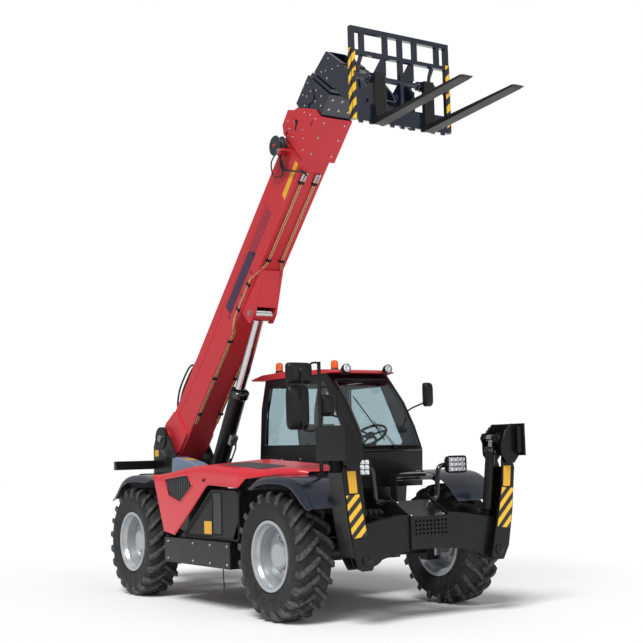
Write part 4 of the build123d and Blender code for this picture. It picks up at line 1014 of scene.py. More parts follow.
# ------------------------------------------------------------------ hood and mudguards
@dataclass
class Hood:
    """The engine hood's moulded skin, with its side window, grille and top vent."""

    wall: float = 0.006
    inner_x: float = -0.388
    corner: float = 0.075
    corner_power: float = 2.3
    crown: float = 0.045
    fade: tuple[float, float] = (0.5, 0.4)
    top: Outline = (
        (-0.18, 1.392), (-0.06, 1.434), (0.30, 1.458), (0.90, 1.492), (1.404, 1.513), (2.0, 1.465),
        (2.542, 1.367),
    )
    low: Outline = (
        (-0.18, 1.364), (0.10, 1.366), (0.504, 1.330), (0.62, 1.240), (1.257, 1.265), (1.60, 1.010),
        (2.01, 0.725), (2.278, 0.758), (2.542, 1.360),
    )
    plan: Outline = ((-0.18, 0.83), (-0.12, 0.90), (0.0, 0.97), (0.30, 1.085), (0.62, 1.150), (2.56, 1.150))
    window: Outline = ((2.238, 1.324), (1.706, 1.368), (1.594, 1.253), (1.88, 1.08), (2.168, 1.15))
    edge: Outline = ((0.62, 1.250), (1.257, 1.278), (1.60, 1.026), (2.01, 0.742))
    inner_edge: Outline = (
        (0.1, 1.31), (0.1, 1.40), (0.9, 1.455), (1.404, 1.480), (2.0, 1.435), (2.42, 1.335),
    )
    vent_x: float = 1.0
    slat: tuple[float, float, float] = (0.30, 0.050, 0.008)
    slat_pitch: float = 0.062
    bar_pitch: float = 0.042
    bar_width: float = 0.012

    def skin(self) -> Part:
        """The skin: at each y a line across the top, round a superellipse corner and down the side.

        With h(y) the top's height from a smooth line, w(y) the half width and b(y) the lower edge, the corner
        runs x = -(w - c) - c*sin(a)^(2/p), z = r - c + c*cos(a)^(2/p) for a from 0 to 90 degrees with p the
        corner's power, and the side falls from there to b. The top falls evenly from h at the middle to
        r = h - crown at the corner's start, and the crown fades out at the hood's two ends.

        Returns:
            Points and faces.
        """
        front, rear = self.top[0][0], self.top[-1][0]
        y = np.unique(np.concatenate([np.linspace(front, rear, 90), [q[0] for q in self.low]]))
        height = np.interp(y, *np.array(smooth_path([(a, b, 0) for a, b in self.top], 12))[:, :2].T)
        width = np.interp(y, *np.array(self.plan).T)[:, None]
        low = np.interp(y, *np.array(self.low).T)
        ends = np.clip(np.minimum((y - front) / self.fade[0], (rear - y) / self.fade[1]), 0, 1)
        rim = height - self.crown * ends
        c = np.minimum(self.corner, 0.9 * np.clip(rim - low, self.wall, None))
        flat = np.linspace(0, 1, 9)[None]
        a = np.linspace(0, math.pi / 2, 10)[None, 1:]
        fall = np.linspace(0, 1, 12)[None, 1:]
        height, rim, low, c = height[:, None], rim[:, None], low[:, None], c[:, None]
        corner_z = rim - c + c * np.cos(a) ** (2 / self.corner_power)
        corner_z[:, -1:] = rim - c
        x = np.hstack([
            self.inner_x + flat * (c - width - self.inner_x),
            c - width - c * np.sin(a) ** (2 / self.corner_power),
            np.broadcast_to(-width, (len(y), fall.size)),
        ])
        z = np.hstack([height + flat * (rim - height), corner_z, rim - c + fall * (low - rim + c)])
        rows = np.broadcast_to(y[:, None] + AXLE_SHIFT, x.shape)
        return shell_part(np.stack([x, rows, z], axis=2), self.wall)

    def scaled_window(self, factor: float) -> Outline:
        """The window's outline, scaled about its middle."""
        middle = np.mean(self.window, axis=0)
        return [tuple(middle + factor * (np.array(q) - middle)) for q in self.window]

    def grille(self) -> Part:
        """Upright bars behind the window, each cut to the window's height at its place."""
        outline, bars = self.scaled_window(0.965), []
        for k in range(14):
            y = 1.64 + self.bar_pitch * k
            low, high = self.span(outline, y)
            if high - low > 0.02:
                back = y + self.bar_width
                bevelled = [(y, low), (back, low + 0.003), (back, high - 0.003), (y, high)]
                bars.append(side_slab(bevelled, -1.146, -1.138))
        return joined(bars)

    def vent(self) -> Part:
        """Flat slats across the top, which lie on the fall of its crown."""
        slope = self.crown / (self.plan[-1][1] - self.corner + self.inner_x)
        across = np.array([1.0, 0.0, slope]) / math.hypot(1.0, slope)
        wide, deep, thick = self.slat
        slats = []
        for k in range(13):
            y = 0.42 + self.slat_pitch * k
            z = float(np.interp(y, *np.array(self.top).T))
            start = at(-self.vent_x, y, z - slope * (self.vent_x + self.inner_x) - 0.002)
            slats.append(slab(rectangle(0, wide, 0, deep), start, across, np.array([0, 1.0, 0.04]), thick))
        return joined(slats)

    def build(self) -> None:
        """Makes the hood's pieces."""
        skin = outward(emit("hood_skin", self.skin(), Look.HOOD_RED, "hood", angle=30))
        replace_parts(skin, "hood")
        carved(skin, side_slab(self.window, -1.25, -1.10))
        back = side_slab(self.scaled_window(1.12), -1.138, -1.132)
        emit("hood_grille_back", back, Look.BLACK_PLASTIC, "hood")
        lip = ridge([at(-1.149, y, z) for y, z in self.scaled_window(1.04)], 0.011)
        edge = tube([at(-1.148, y, z) for y, z in self.edge], 0.05, 0.013)
        emit("hood_lips", joined([lip, edge]), Look.HOOD_RED, "hood", angle=TUBE_ANGLE)
        emit("hood_grille_bars", self.grille(), Look.GREY, "hood")
        emit("hood_vent", self.vent(), Look.GREY, "hood", bevel=0.002)
        parts = [side_slab(self.inner_edge, self.inner_x, -0.380)]
        for y in (0.70, 2.0):
            parts.append(box((-0.384, y - 0.03, 1.32), (-0.345, y + 0.03, 1.34)))
            parts.append(bar(at(-0.345, y - 0.055, 1.33), at(-0.345, y + 0.055, 1.33), 0.0135))
        emit("hood_hinges", joined(parts), Look.BLACK, "hood")
        knob = bar(at(-1.150, 1.33, 1.315), at(-1.160, 1.33, 1.315), 0.014, 16)
        latch = joined([box((-1.158, 1.30, 1.305), (-1.150, 1.36, 1.325)), knob])
        emit("hood_latch", latch, Look.BLACK_PLASTIC, "hood")

    @staticmethod
    def span(outline: Outline, y: float) -> tuple[float, float]:
        """The reach of a closed outline at one y.

        Args:
            outline: points of y and z.
            y: where it is cut.

        Returns:
            The lowest and the highest z there, or twice 0 past the outline's ends.
        """
        found = []
        for (y0, z0), (y1, z1) in zip(outline, outline[1:] + outline[:1]):
            if min(y0, y1) <= y <= max(y0, y1) and y0 != y1:
                found.append(z0 + (z1 - z0) * (y - y0) / (y1 - y0))
        return (min(found), max(found)) if len(found) > 1 else (0.0, 0.0)


@dataclass
class Mudguard(AtWheel):
    """One moulded mudguard: a crowned strip that follows the wheel, with a rolled outer lip."""

    inner: float = 0.56
    outer: float = 1.15
    wall: float = 0.006
    lip: float = 0.055
    crown: float = 0.012
    front_line: Outline = (
        (-0.70, 1.066), (-0.53, 1.228), (-0.33, 1.335), (-0.04, 1.359), (0.20, 1.345), (0.34, 1.305),
        (0.415, 1.250),
    )
    rear_line: Outline = (
        (-0.455, 1.338), (-0.25, 1.356), (-0.04, 1.365), (0.18, 1.352), (0.34, 1.300), (0.48, 1.190),
        (0.595, 1.080),
    )

    def skin(self) -> Part:
        """The skin: a smooth line along the wheel, and across it a crown with a lip of a quarter turn.

        Across, for v from 0 inboard to 1 outboard, the skin drops by crown * (2v - 1)^2 until the lip,
        where it follows a quarter circle of the lip's radius. The drop fades to 0.35 of itself at both ends.

        Returns:
            Points and faces.
        """
        route = self.front_line if self.axle is Axle.FRONT else self.rear_line
        line = smooth_path([(0.0, y, z) for y, z in route], 10)
        tangent = np.gradient(line, axis=0)
        tangent /= np.linalg.norm(tangent, axis=1)[:, None]
        up = np.stack([np.zeros(len(line)), -tangent[:, 2], tangent[:, 1]], axis=1)
        flat = np.linspace(self.inner, self.outer - self.lip, 14)
        a = np.linspace(0, math.pi / 2, 9)[1:]
        x = np.concatenate([flat, self.outer - self.lip + self.lip * np.sin(a), [self.outer]])
        v = (flat - self.inner) / (self.outer - self.inner)
        base = -self.crown * (2 * v - 1) ** 2
        edge = base[-1] - self.lip
        drop = np.concatenate([base, edge + self.lip * np.cos(a), [edge - self.crown]])
        count = np.arange(len(line))
        fade = np.minimum(1.0, np.minimum(count, count[::-1]) / 7.0) ** 0.5
        depth = drop[None] * (0.35 + 0.65 * fade[:, None])
        grid = line[:, None, :] + up[:, None, :] * depth[..., None]
        grid[..., 0] = self.side * x[None]
        grid[..., 1] += self.axle.value + AXLE_SHIFT
        return shell_part(grid, self.wall * self.side)

    def build(self) -> None:
        """Makes the mudguard, its bracket and bolts."""
        skin = emit(f"mudguard_{self.tag}", self.skin(), Look.BLUE_BLACK, angle=40)
        outward(skin)
        if self.hand is Hand.LEFT:
            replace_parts(skin, f"{self.axle.word}_fenders")
        front, back = self.axle.value - 0.09, self.axle.value + 0.01
        bracket = joined([
            sided_box(self.side, (0.2705, front, 0.86), (0.29, back, 1.322)),
            sided_box(self.side, (0.271, front, 1.302), (0.66, back, 1.33)),
        ])
        emit(f"mudguard_bracket_{self.tag}", bracket, Look.BLACK, bevel=0.003)
        spots = places([(0.60, self.axle.value + y, 1.352) for y in (-0.06, -0.02)], self.side)
        emit(f"mudguard_bolts_{self.tag}", bolts(spots, tuple(UP), 0.011), Look.ZINC)


# ------------------------------------------------------------------ boom
@dataclass
class BoomTrim:
    """Pipes, clamps, bolts, bands and the hose loops on the boom."""

    half: float = 0.172
    collar_half: float = 0.205
    pipe_radius: float = 0.0058
    pipe_gap: float = 0.011
    pipe_low: float = -0.413
    pipe_side: float = 0.186
    pipe_upper: Outline = ((4.20, 0.085), (4.10, 0.085), (3.20, 0.085), (3.06, 0.092), (2.94, 0.150))
    pipe_beside: Outline = ((2.78, -0.365), (2.30, -0.365), (2.22, -0.375))
    pipe_lower: Outline = ((2.06, 0.150), (1.96, 0.145), (0.62, 0.145))
    clamps: Outline = ((4.14, 0.085), (3.10, 0.085), (1.92, 0.145), (1.35, 0.145), (0.78, 0.145))
    side_clamps: tuple[float, float] = (2.72, 2.36)
    clamp_half: float = 0.014
    reel_at: tuple[float, float] = (4.33, 0.01)
    reel_face: Outline = (
        (ON_AXIS, 0.052), (0.03, 0.052), (0.034, 0.046), (0.085, 0.044), (0.094, 0.050), (0.110, 0.046),
        (0.113, 0.040), (0.110, 0.036), (0.09, 0.036),
    )
    reel_back: Outline = (
        (0.09, -0.036), (0.110, -0.036), (0.113, -0.040), (0.110, -0.046), (ON_AXIS, -0.046),
    )
    reel_plate: Outline = (
        (4.26, -0.08), (4.40, -0.08), (4.42, 0.03), (4.38, 0.07), (4.28, 0.07), (4.24, 0.03),
    )
    seam: Outline = ((0.46, -0.030), (0.55, 0.060), (4.43, 0.060), (4.43, -0.035), (1.2, -0.075))
    plug: Outline = ((ON_AXIS, 0.004), (0.015, 0.004), (0.019, 0.002), (0.019, -0.002))
    band: Outline = ((2.19, -0.245), (2.19, -0.090), (3.00, -0.090), (3.08, -0.245))
    band_lines: tuple[float, ...] = (-0.225, -0.185, -0.145, -0.105)
    scale_plate: Outline = ((3.88, -0.370), (3.90, -0.285), (4.33, -0.275), (4.33, -0.345))
    corner_mark: Outline = (
        (2.13, -0.255), (2.13, -0.20), (2.145, -0.20), (2.145, -0.24), (2.185, -0.24), (2.185, -0.255),
    )
    collar_bolts: Outline = (
        (4.60, 0.10), (4.55, 0.02), (4.66, -0.02), (4.68, -0.22), (4.84, -0.13), (4.88, -0.25), (4.62, -0.30),
        (4.52, -0.37), (4.90, -0.37), (4.52, -0.10),
    )
    collar_hook: Outline = (
        (4.60, -0.10), (4.71, -0.085), (4.70, -0.02), (4.66, -0.02), (4.665, -0.062), (4.60, -0.072),
    )
    second_half: float = 0.180
    second_bolts: Outline = (
        (4.88, -0.05), (4.98, -0.02), (5.06, -0.05), (4.90, -0.16), (5.02, -0.20), (5.12, -0.14),
        (4.88, -0.30), (5.04, -0.33), (5.12, -0.27), (4.95, 0.06), (5.10, 0.06),
    )
    fourth_half: float = 0.150
    fourth_bolts: Outline = (
        (5.30, -0.06), (5.35, -0.12), (5.30, -0.20), (5.42, -0.22), (5.47, -0.08), (5.50, -0.30),
    )
    tail_hoses: tuple[float, ...] = (-0.13, -0.09, -0.05)
    tail_cap: Outline = ((ON_AXIS, 0.040), (0.010, 0.038), (0.014, 0.028), (0.014, 0.0))

    def pipe_route(self, gap: float) -> list[Vec]:
        """One pipe's corners: down the underside, round the bracket on the boom's side and down again.

        Args:
            gap: how far the pipe stands off the pair's middle line.

        Returns:
            Places as s, t and x.
        """
        low, flank = self.pipe_low, self.pipe_side
        upper = [(s, low, x + gap) for s, x in self.pipe_upper]
        beside = [(s, t + gap, flank) for s, t in self.pipe_beside]
        lower = [(s, low, x + gap) for s, x in self.pipe_lower]
        return [*upper, (2.86, -0.400, flank), *beside, (2.14, -0.405, 0.178 + gap), *lower]

    def pipes(self) -> None:
        """Two pairs of steel pipes down the underside, each bending round the lift cylinder's bracket."""
        for hand in Hand:
            side, parts = hand.value, []
            for gap in (-self.pipe_gap, self.pipe_gap):
                parts.append(hose(boom_places(self.pipe_route(gap), side), self.pipe_radius, 10, 6))
            emit(f"boom_pipes_{hand.word}", joined(parts), Look.PIPE, "outer_boom", angle=TUBE_ANGLE)
            parts = []
            half = self.clamp_half
            for s, x in self.clamps:
                middle = side * x
                parts.append(boom_box(s - half, s + half, -0.424, -0.3995, middle - 0.030, middle + 0.030))
                parts.append(bolt(on_boom(s, -0.424, middle), tuple(-BOOM_OUT), 0.007))
            for s in self.side_clamps:
                parts.append(boom_box(s - half, s + half, -0.395, -0.335, side * 0.1715, side * 0.197))
            emit(f"pipe_clamps_{hand.word}", joined(parts), Look.BLACK_PLASTIC, "outer_boom", bevel=0.002)

    def ends(self) -> None:
        """Swivel fittings at the pipes' upper ends and the hoses that leave them."""
        for hand in Hand:
            parts = []
            for gap in (-0.018, 0.018):
                x = hand.value * 0.085 + gap
                parts.append(bar(on_boom(4.17, -0.418, x), on_boom(4.27, -0.418, x), 0.013, 6))
                parts.append(bar(on_boom(4.26, -0.43, x), on_boom(4.26, -0.40, x), 0.016, 12))
            emit(f"pipe_fittings_{hand.word}", joined(parts), Look.ZINC, "outer_boom")
        routes = [[
            (4.26, -0.43 - lift, -0.08), (4.30, -0.44 - lift, -0.16), (4.27, -0.40, -0.20 - lift),
            (4.20, -0.28, -0.195), (4.16 - lift, -0.16, -0.215), (4.22, -0.08, -0.235), (4.28, -0.03, -0.225),
        ] for lift in (0.0, 0.02)]
        loop = [
            (4.28, 0.02, -0.235), (4.10, 0.05, -0.24), (3.99, -0.05, -0.215), (4.05, -0.16, -0.20),
            (4.16, -0.17, -0.21), (4.22, -0.10, -0.23),
        ]
        parts = [*(hose(boom_places(route), 0.009) for route in routes), hose(boom_places(loop), 0.008)]
        emit("reel_hoses", joined(parts), Look.RUBBER, "outer_boom", angle=TUBE_ANGLE)

    def reel(self) -> None:
        """The hose reel: pressed flanges with ribs, hose wound between them, and its red bracket."""
        wound = []
        for k in range(6):
            h = 0.030 - 0.012 * k
            wound += [(0.090, h + 0.005), (0.0965, h), (0.090, h - 0.005)]
        profile = [*self.reel_face, *wound, *self.reel_back]
        drum = turned(profile, on_boom(*self.reel_at, -0.267), tuple(-ACROSS), 56)
        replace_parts(outward(emit("reel_drum", drum, Look.REEL, "outer_boom", angle=30)), "hose_reel")
        parts = [
            boom_slab(self.reel_plate, -0.189, -0.1725),
            bar(on_boom(*self.reel_at, -0.19), on_boom(*self.reel_at, -0.325), 0.02),
            boom_box(4.30, 4.36, -0.14, -0.06, -0.30, -0.1725),
            boom_box(4.30, 4.36, -0.14, -0.128, -0.325, -0.20),
        ]
        emit("reel_bracket", joined(parts), Look.BOOM_RED, "outer_boom", bevel=0.004)
        swivel = bar(on_boom(4.33, -0.10, -0.325), on_boom(4.33, -0.10, -0.235), 0.028, 24)
        emit("reel_swivel", swivel, Look.STEEL, "outer_boom")

    def bands(self) -> None:
        """The raised seams, plug holes and flat coloured bands on the sides."""
        for hand in Hand:
            side = hand.value
            seam = boom_slab(self.seam, side * 0.1718, side * 0.1755)
            emit(f"boom_side_seam_{hand.word}", seam, Look.BOOM_RED, "outer_boom", bevel=0.0015)
            holes = [on_boom(s, -0.30, side * self.half) for s in (2.36, 2.52, 2.69, 2.85)]
            plugs = [turned(self.plug, hole, (side, 0, 0), 20) for hole in holes]
            emit(f"boom_plugs_{hand.word}", joined(plugs), Look.PLUG, "outer_boom")
        lines = [[(3.02, t), (3.02, t + 0.014), (3.62, t + 0.014), (3.62, t)] for t in self.band_lines]
        for name, outlines, look in (
            ("boom_band", [self.band, *lines], Look.BAND),
            ("boom_scale_plate", [self.scale_plate], Look.YELLOW),
            ("boom_corner_mark", [self.corner_mark], Look.BAND),
        ):
            marks = joined([boom_slab(outline, -0.1732, -0.1719) for outline in outlines])
            emit(name, marks, look, "outer_boom")

    def side_bolts(self, spots: tuple, half: float) -> list[Part]:
        """Bolts on both sides of a boom section."""
        return [bolt(on_boom(s, t, side * half), (side, 0, 0), 0.008) for side in SIGNS for s, t in spots]

    def fixings(self) -> None:
        """Bolts on the collar and the heads, the collar's slots, and the hoses on the second section."""
        down = tuple(-BOOM_OUT)
        under = [on_boom(s, -0.435, x) for s in (4.52, 4.72, 4.90) for x in (-0.13, 0.13)]
        collar = [*self.side_bolts(self.collar_bolts, self.collar_half), bolts(under, down, 0.010)]
        emit("collar_bolts", joined(collar), Look.ZINC, "outer_boom")
        slots = []
        for side in SIGNS:
            inner, outer = side * 0.204, side * 0.2065
            slots.append(boom_slab(self.collar_hook, inner, outer))
            slots.append(boom_box(4.47, 4.51, 0.02, 0.05, inner, outer))
            slots.append(boom_box(4.80, 4.86, -0.34, -0.325, inner, outer))
        emit("collar_slots", joined(slots), Look.BLACK, "outer_boom")
        under = [on_boom(s, -0.404, x) for s in (4.90, 5.05, 5.16) for x in (-0.12, 0.0, 0.12)]
        second = [*self.side_bolts(self.second_bolts, self.second_half), bolts(under, down, 0.013)]
        emit("second_boom_bolts", joined(second), Look.ZINC, "second_boom")
        fourth = self.side_bolts(self.fourth_bolts, self.fourth_half)
        emit("fourth_boom_bolts", joined(fourth), Look.ZINC, "fourth_boom")
        route = [(4.86, -0.22, 0.186), (4.93, -0.12, 0.186), (5.02, -0.17, 0.186), (5.10, -0.08, 0.186)]
        hoses = joined([hose(boom_places(route, side), 0.006, 8) for side in SIGNS])
        emit("second_boom_hoses", hoses, Look.RUBBER, "second_boom", angle=TUBE_ANGLE)

    def tail(self) -> None:
        """The hoses that loop over the boom's back at its lower end, with their fittings and a cap."""
        parts = []
        for k, x in enumerate(self.tail_hoses):
            lower = 0.02 * k
            parts.append(hose(boom_places([
                (1.07, 0.095, x), (1.09, 0.16, x), (0.96, 0.225 - lower, x), (0.66, 0.235 - lower, x),
                (0.48, 0.17, x), (0.40, 0.115, x + 0.01),
            ]), 0.012))
        emit("tail_hoses", joined(parts), Look.RUBBER, "outer_boom", angle=TUBE_ANGLE)
        fittings = [bar(on_boom(1.07, 0.084, x), on_boom(1.07, 0.13, x), 0.017, 6) for x in self.tail_hoses]
        emit("tail_fittings", joined(fittings), Look.ZINC, "outer_boom")
        cap = turned(self.tail_cap, on_boom(1.16, 0.084, -0.14), tuple(BOOM_OUT), 20)
        emit("tail_cap", cap, Look.AMBER, "outer_boom")

    def build(self) -> None:
        """Makes the boom's trim."""
        for part in (self.pipes, self.ends, self.reel, self.bands, self.fixings, self.tail):
            part()


@dataclass
class CarriageTrim:
    """Striped plates, hooks, collars and teeth of the fork carriage."""

    half: float = 0.600
    face: float = -0.765
    back: float = -0.715
    foot: float = 4.712
    top: float = 5.41
    plate: float = 0.003
    hook: Outline = (
        (-0.7152, 5.399), (-0.672, 5.399), (-0.632, 5.31), (-0.620, 5.22), (-0.636, 5.12), (-0.668, 5.06),
        (-0.652, 5.13), (-0.648, 5.22), (-0.664, 5.29), (-0.7152, 5.362),
    )
    collar: Outline = (
        (0.0285, -0.012), (0.044, -0.012), (0.046, -0.008), (0.046, 0.008), (0.044, 0.012), (0.0285, 0.012),
    )
    tooth: Outline = ((0.002, 0.0), (0.002, -0.022), (0.012, -0.028), (0.024, -0.022), (0.024, 0.0))

    def build(self) -> None:
        """Makes the carriage's trim."""
        front, back, outer = self.face - self.plate, self.back + self.plate, self.half + self.plate
        for hand in Hand:
            plates = joined([
                sided_box(hand.value, (self.half, front, self.foot), (outer, back, self.top)),
                sided_box(hand.value, (self.half - 0.046, front, self.foot), (outer, self.face, self.top)),
            ])
            emit(f"carriage_bands_{hand.word}", plates, Look.CARRIAGE_BANDS, "carriage")
        hooks = [side_slab(self.hook, side * 0.435 - 0.011, side * 0.435 + 0.011) for side in SIGNS]
        emit("carriage_hooks", joined(hooks), Look.BLUE_BLACK, "carriage", bevel=0.003)
        spots = [at(x, -0.740, 5.150) for x in (-0.565, -0.39, -0.21, 0.21, 0.39, 0.565)]
        collars = [turned(self.collar, spot, tuple(ACROSS), 28, closed=True) for spot in spots]
        emit("shaft_collars", joined(collars), Look.BLUE_BLACK, "carriage")
        tooth = [(self.face + y, self.foot + z) for y, z in self.tooth]
        middles = [-0.50 + 0.125 * k for k in range(9)]
        teeth = joined([side_slab(tooth, x - 0.022, x + 0.022) for x in middles])
        emit("carriage_teeth", teeth, Look.BLUE_BLACK, "carriage", bevel=0.002)


# ------------------------------------------------------------------ cab
@dataclass
class Cab:
    """Seals, wiper, handles and the driver's place."""

    right: float = 0.275
    left: float = 1.085
    side_window: Outline = ((0.723, 1.640), (1.182, 2.347), (2.328, 2.347), (2.427, 2.059), (2.467, 1.660))
    door_window: Outline = (
        (0.790, 1.640), (1.190, 2.300), (1.840, 2.300), (1.840, 1.300), (1.080, 1.300), (1.060, 1.600),
    )
    rear_quarter: Outline = ((1.990, 1.640), (1.990, 2.350), (2.330, 2.350), (2.430, 2.060), (2.470, 1.660))
    screen: Outline = ((0.503, 1.622), (0.622, 1.832), (0.802, 2.102), (1.021, 2.331), (1.055, 2.366))
    screen_sides: tuple[float, float] = (0.330, 1.030)
    bolt_spots: Outline = (
        (0.95, 1.50), (1.30, 1.50), (1.70, 1.50), (2.10, 1.50), (2.45, 1.50), (2.50, 1.30), (0.66, 1.40),
    )
    wheel_centre: Vec = (0.69, 0.92, 1.74)
    wheel_radius: float = 0.19
    seat_tilt: float = 80.0

    def seals(self) -> None:
        """Rubber round every window, following the pane's outline."""
        for name, outline, x, body in (
            ("right", self.side_window, self.right + 0.001, "chassis"),
            ("door_window", self.door_window, self.left + 0.003, "door"),
            ("rear_quarter", self.rear_quarter, self.left - 0.001, "chassis"),
        ):
            loop = [at(x, y, z) for y, z in outline]
            emit(f"seal_{name}", tube(loop + loop[:1], 0.03, 0.008, 8), Look.RUBBER, body, angle=TUBE_ANGLE)
        right, left = self.screen_sides
        loop = [at(left, y, z) for y, z in self.screen] + [at(right, y, z) for y, z in reversed(self.screen)]
        emit("seal_screen", tube(loop + loop[:1], 0.03, 0.010, 8), Look.RUBBER, angle=TUBE_ANGLE)

    def on_screen(self, x: float, z: float, lift: float = 0.012) -> np.ndarray:
        """A place just off the screen."""
        y = float(np.interp(z, *np.array([(z, y) for y, z in self.screen[:4]]).T))
        return at(x, y - lift, z + 0.4 * lift)

    def wiper(self) -> None:
        """The screen's wiper: a twin-link arm and a blade that lies on the glass."""
        pivot = self.on_screen(0.70, 1.60, 0.03)
        parts = [bar(pivot, pivot + 0.05 * BACKWARDS, 0.018, 16)]
        for off in (-0.014, 0.014):
            elbow, wrist = self.on_screen(0.62 + off, 1.72, 0.03), self.on_screen(0.53 + off, 1.88, 0.02)
            parts.append(hose([pivot + ACROSS * off, elbow, wrist], 0.004, 8, 6))
        blade = [self.on_screen(x, z) for x, z in ((0.60, 1.68), (0.53, 1.86), (0.47, 2.02), (0.43, 2.16))]
        parts.append(hose(blade, 0.007, 8))
        emit("wiper", joined(parts), Look.BLACK_PLASTIC, angle=TUBE_ANGLE)

    def driving(self) -> None:
        """The steering wheel with three spokes, the lever and the display on the console."""
        centre, axis = at(*self.wheel_centre), np.array([0.0, 0.55, 0.83])
        u, v = frame_about(axis)
        a = np.linspace(0, FULL_TURN, 49)[:, None]
        hub = [(ON_AXIS, -0.03), (0.05, -0.02), (0.06, 0.0), (0.05, 0.016), (ON_AXIS, 0.02)]
        rim = centre + self.wheel_radius * (np.cos(a) * u + np.sin(a) * v)
        parts = [swept(rim, 0.014), turned(hub, centre, tuple(axis), 28)]
        for k in range(3):
            angle = FULL_TURN * k / 3 + 0.5
            spoke = centre + (self.wheel_radius - 0.005) * (math.cos(angle) * u + math.sin(angle) * v)
            parts.append(bar(centre, spoke, 0.011, 10))
        emit("steering_wheel", joined(parts), Look.BLACK_PLASTIC, angle=50)
        knob = [(ON_AXIS, -0.05), (0.024, -0.04), (0.028, 0.0), (0.022, 0.045), (ON_AXIS, 0.055)]
        stick = bar(at(0.48, 1.36, 1.42), at(0.46, 1.33, 1.62), 0.012, 12)
        lever = joined([stick, turned(knob, at(0.458, 1.325, 1.66), (0, -0.1, 1), 20)])
        emit("boom_lever", lever, Look.BLACK_PLASTIC, angle=50)
        emit("display", box((0.40, 0.86, 1.66), (0.54, 0.885, 1.80)), Look.BLACK_PLASTIC, bevel=0.006)

    @staticmethod
    def cushion(low: Vec, high: Vec, crown: float = 0.3, count: int = 26) -> Part:
        """A pillow with side rolls between two corners.

        With x and y from -1 to 1, swell = (1 - x^4)(1 - y^4) and rise = swell^0.4. The underside falls by
        rise; the top rises by rise*(1 - crown) + 0.25*|x|^3*rise*crown + 0.7*swell*crown, all times the half
        height.

        Args:
            low: the lowest corner.
            high: the highest corner.
            crown: the share of the height that is crowned.
            count: points along each side of the grid.

        Returns:
            Points and faces.
        """
        u = np.linspace(-1, 1, count)
        x, y = np.meshgrid(u, u, indexing="ij")
        swell = (1 - np.abs(x) ** 4) * (1 - np.abs(y) ** 4)
        rise = np.clip(swell, 0, 1) ** 0.4
        rolls = 0.25 * np.abs(x) ** 3 * rise
        middle, half = (np.array(low) + high) / 2, (np.array(high) - low) / 2
        heights = (rise * (1 - crown) + rolls * crown + swell * crown * 0.7, -rise)
        skins = [(middle + half * np.stack([x, y, height], axis=2)).reshape(-1, 3) for height in heights]
        faces = grid_faces(count, count)
        return np.vstack(skins), np.vstack([faces, faces[:, ::-1] + count * count]).tolist()

    def seat(self) -> None:
        """The driver's seat: a level cushion and one tilted back."""
        base = self.cushion((0.48, 1.42, 1.24), (0.94, 1.92, 1.37))
        points, faces = self.cushion((0.48, -0.28, -0.06), (0.94, 0.30, 0.07))
        c, s = math.cos(math.radians(self.seat_tilt)), math.sin(math.radians(self.seat_tilt))
        tilt = np.array([[1, 0, 0], [0, c, -s], [0, s, c]])
        back = (points @ tilt.T + (0, 1.93, 1.60), faces)
        for name, (points, faces) in (("seat_base", base), ("seat_back", back)):
            piece = outward(emit(name, (points + at(0, 0, 0), faces), Look.SEAT, angle=TUBE_ANGLE))

    def doors(self) -> None:
        """The door's rail, handle and lock."""
        rail = places([(1.105, 0.98, 1.10), (1.135, 0.975, 1.13), (1.135, 0.93, 1.55), (1.105, 0.925, 1.58)])
        emit("door_rail", tube(rail, 0.02, 0.011, 12), Look.BLACK, "door", angle=TUBE_ANGLE)
        lock = bar(at(1.10, 1.20, 1.38), at(1.112, 1.20, 1.38), 0.016, 16)
        handle = joined([box((1.087, 1.14, 1.36), (1.10, 1.26, 1.40)), lock])
        emit("door_handle", handle, Look.BLACK_PLASTIC, "door", bevel=0.003)

    def build(self) -> None:
        """Makes the cab's trim."""
        self.seals()
        self.wiper()
        spots = [at(self.right, y, z) for y, z in self.bolt_spots]
        emit("cab_bolts", bolts(spots, tuple(-ACROSS), 0.008), Look.ZINC)
        self.driving()
        self.seat()
        self.doors()


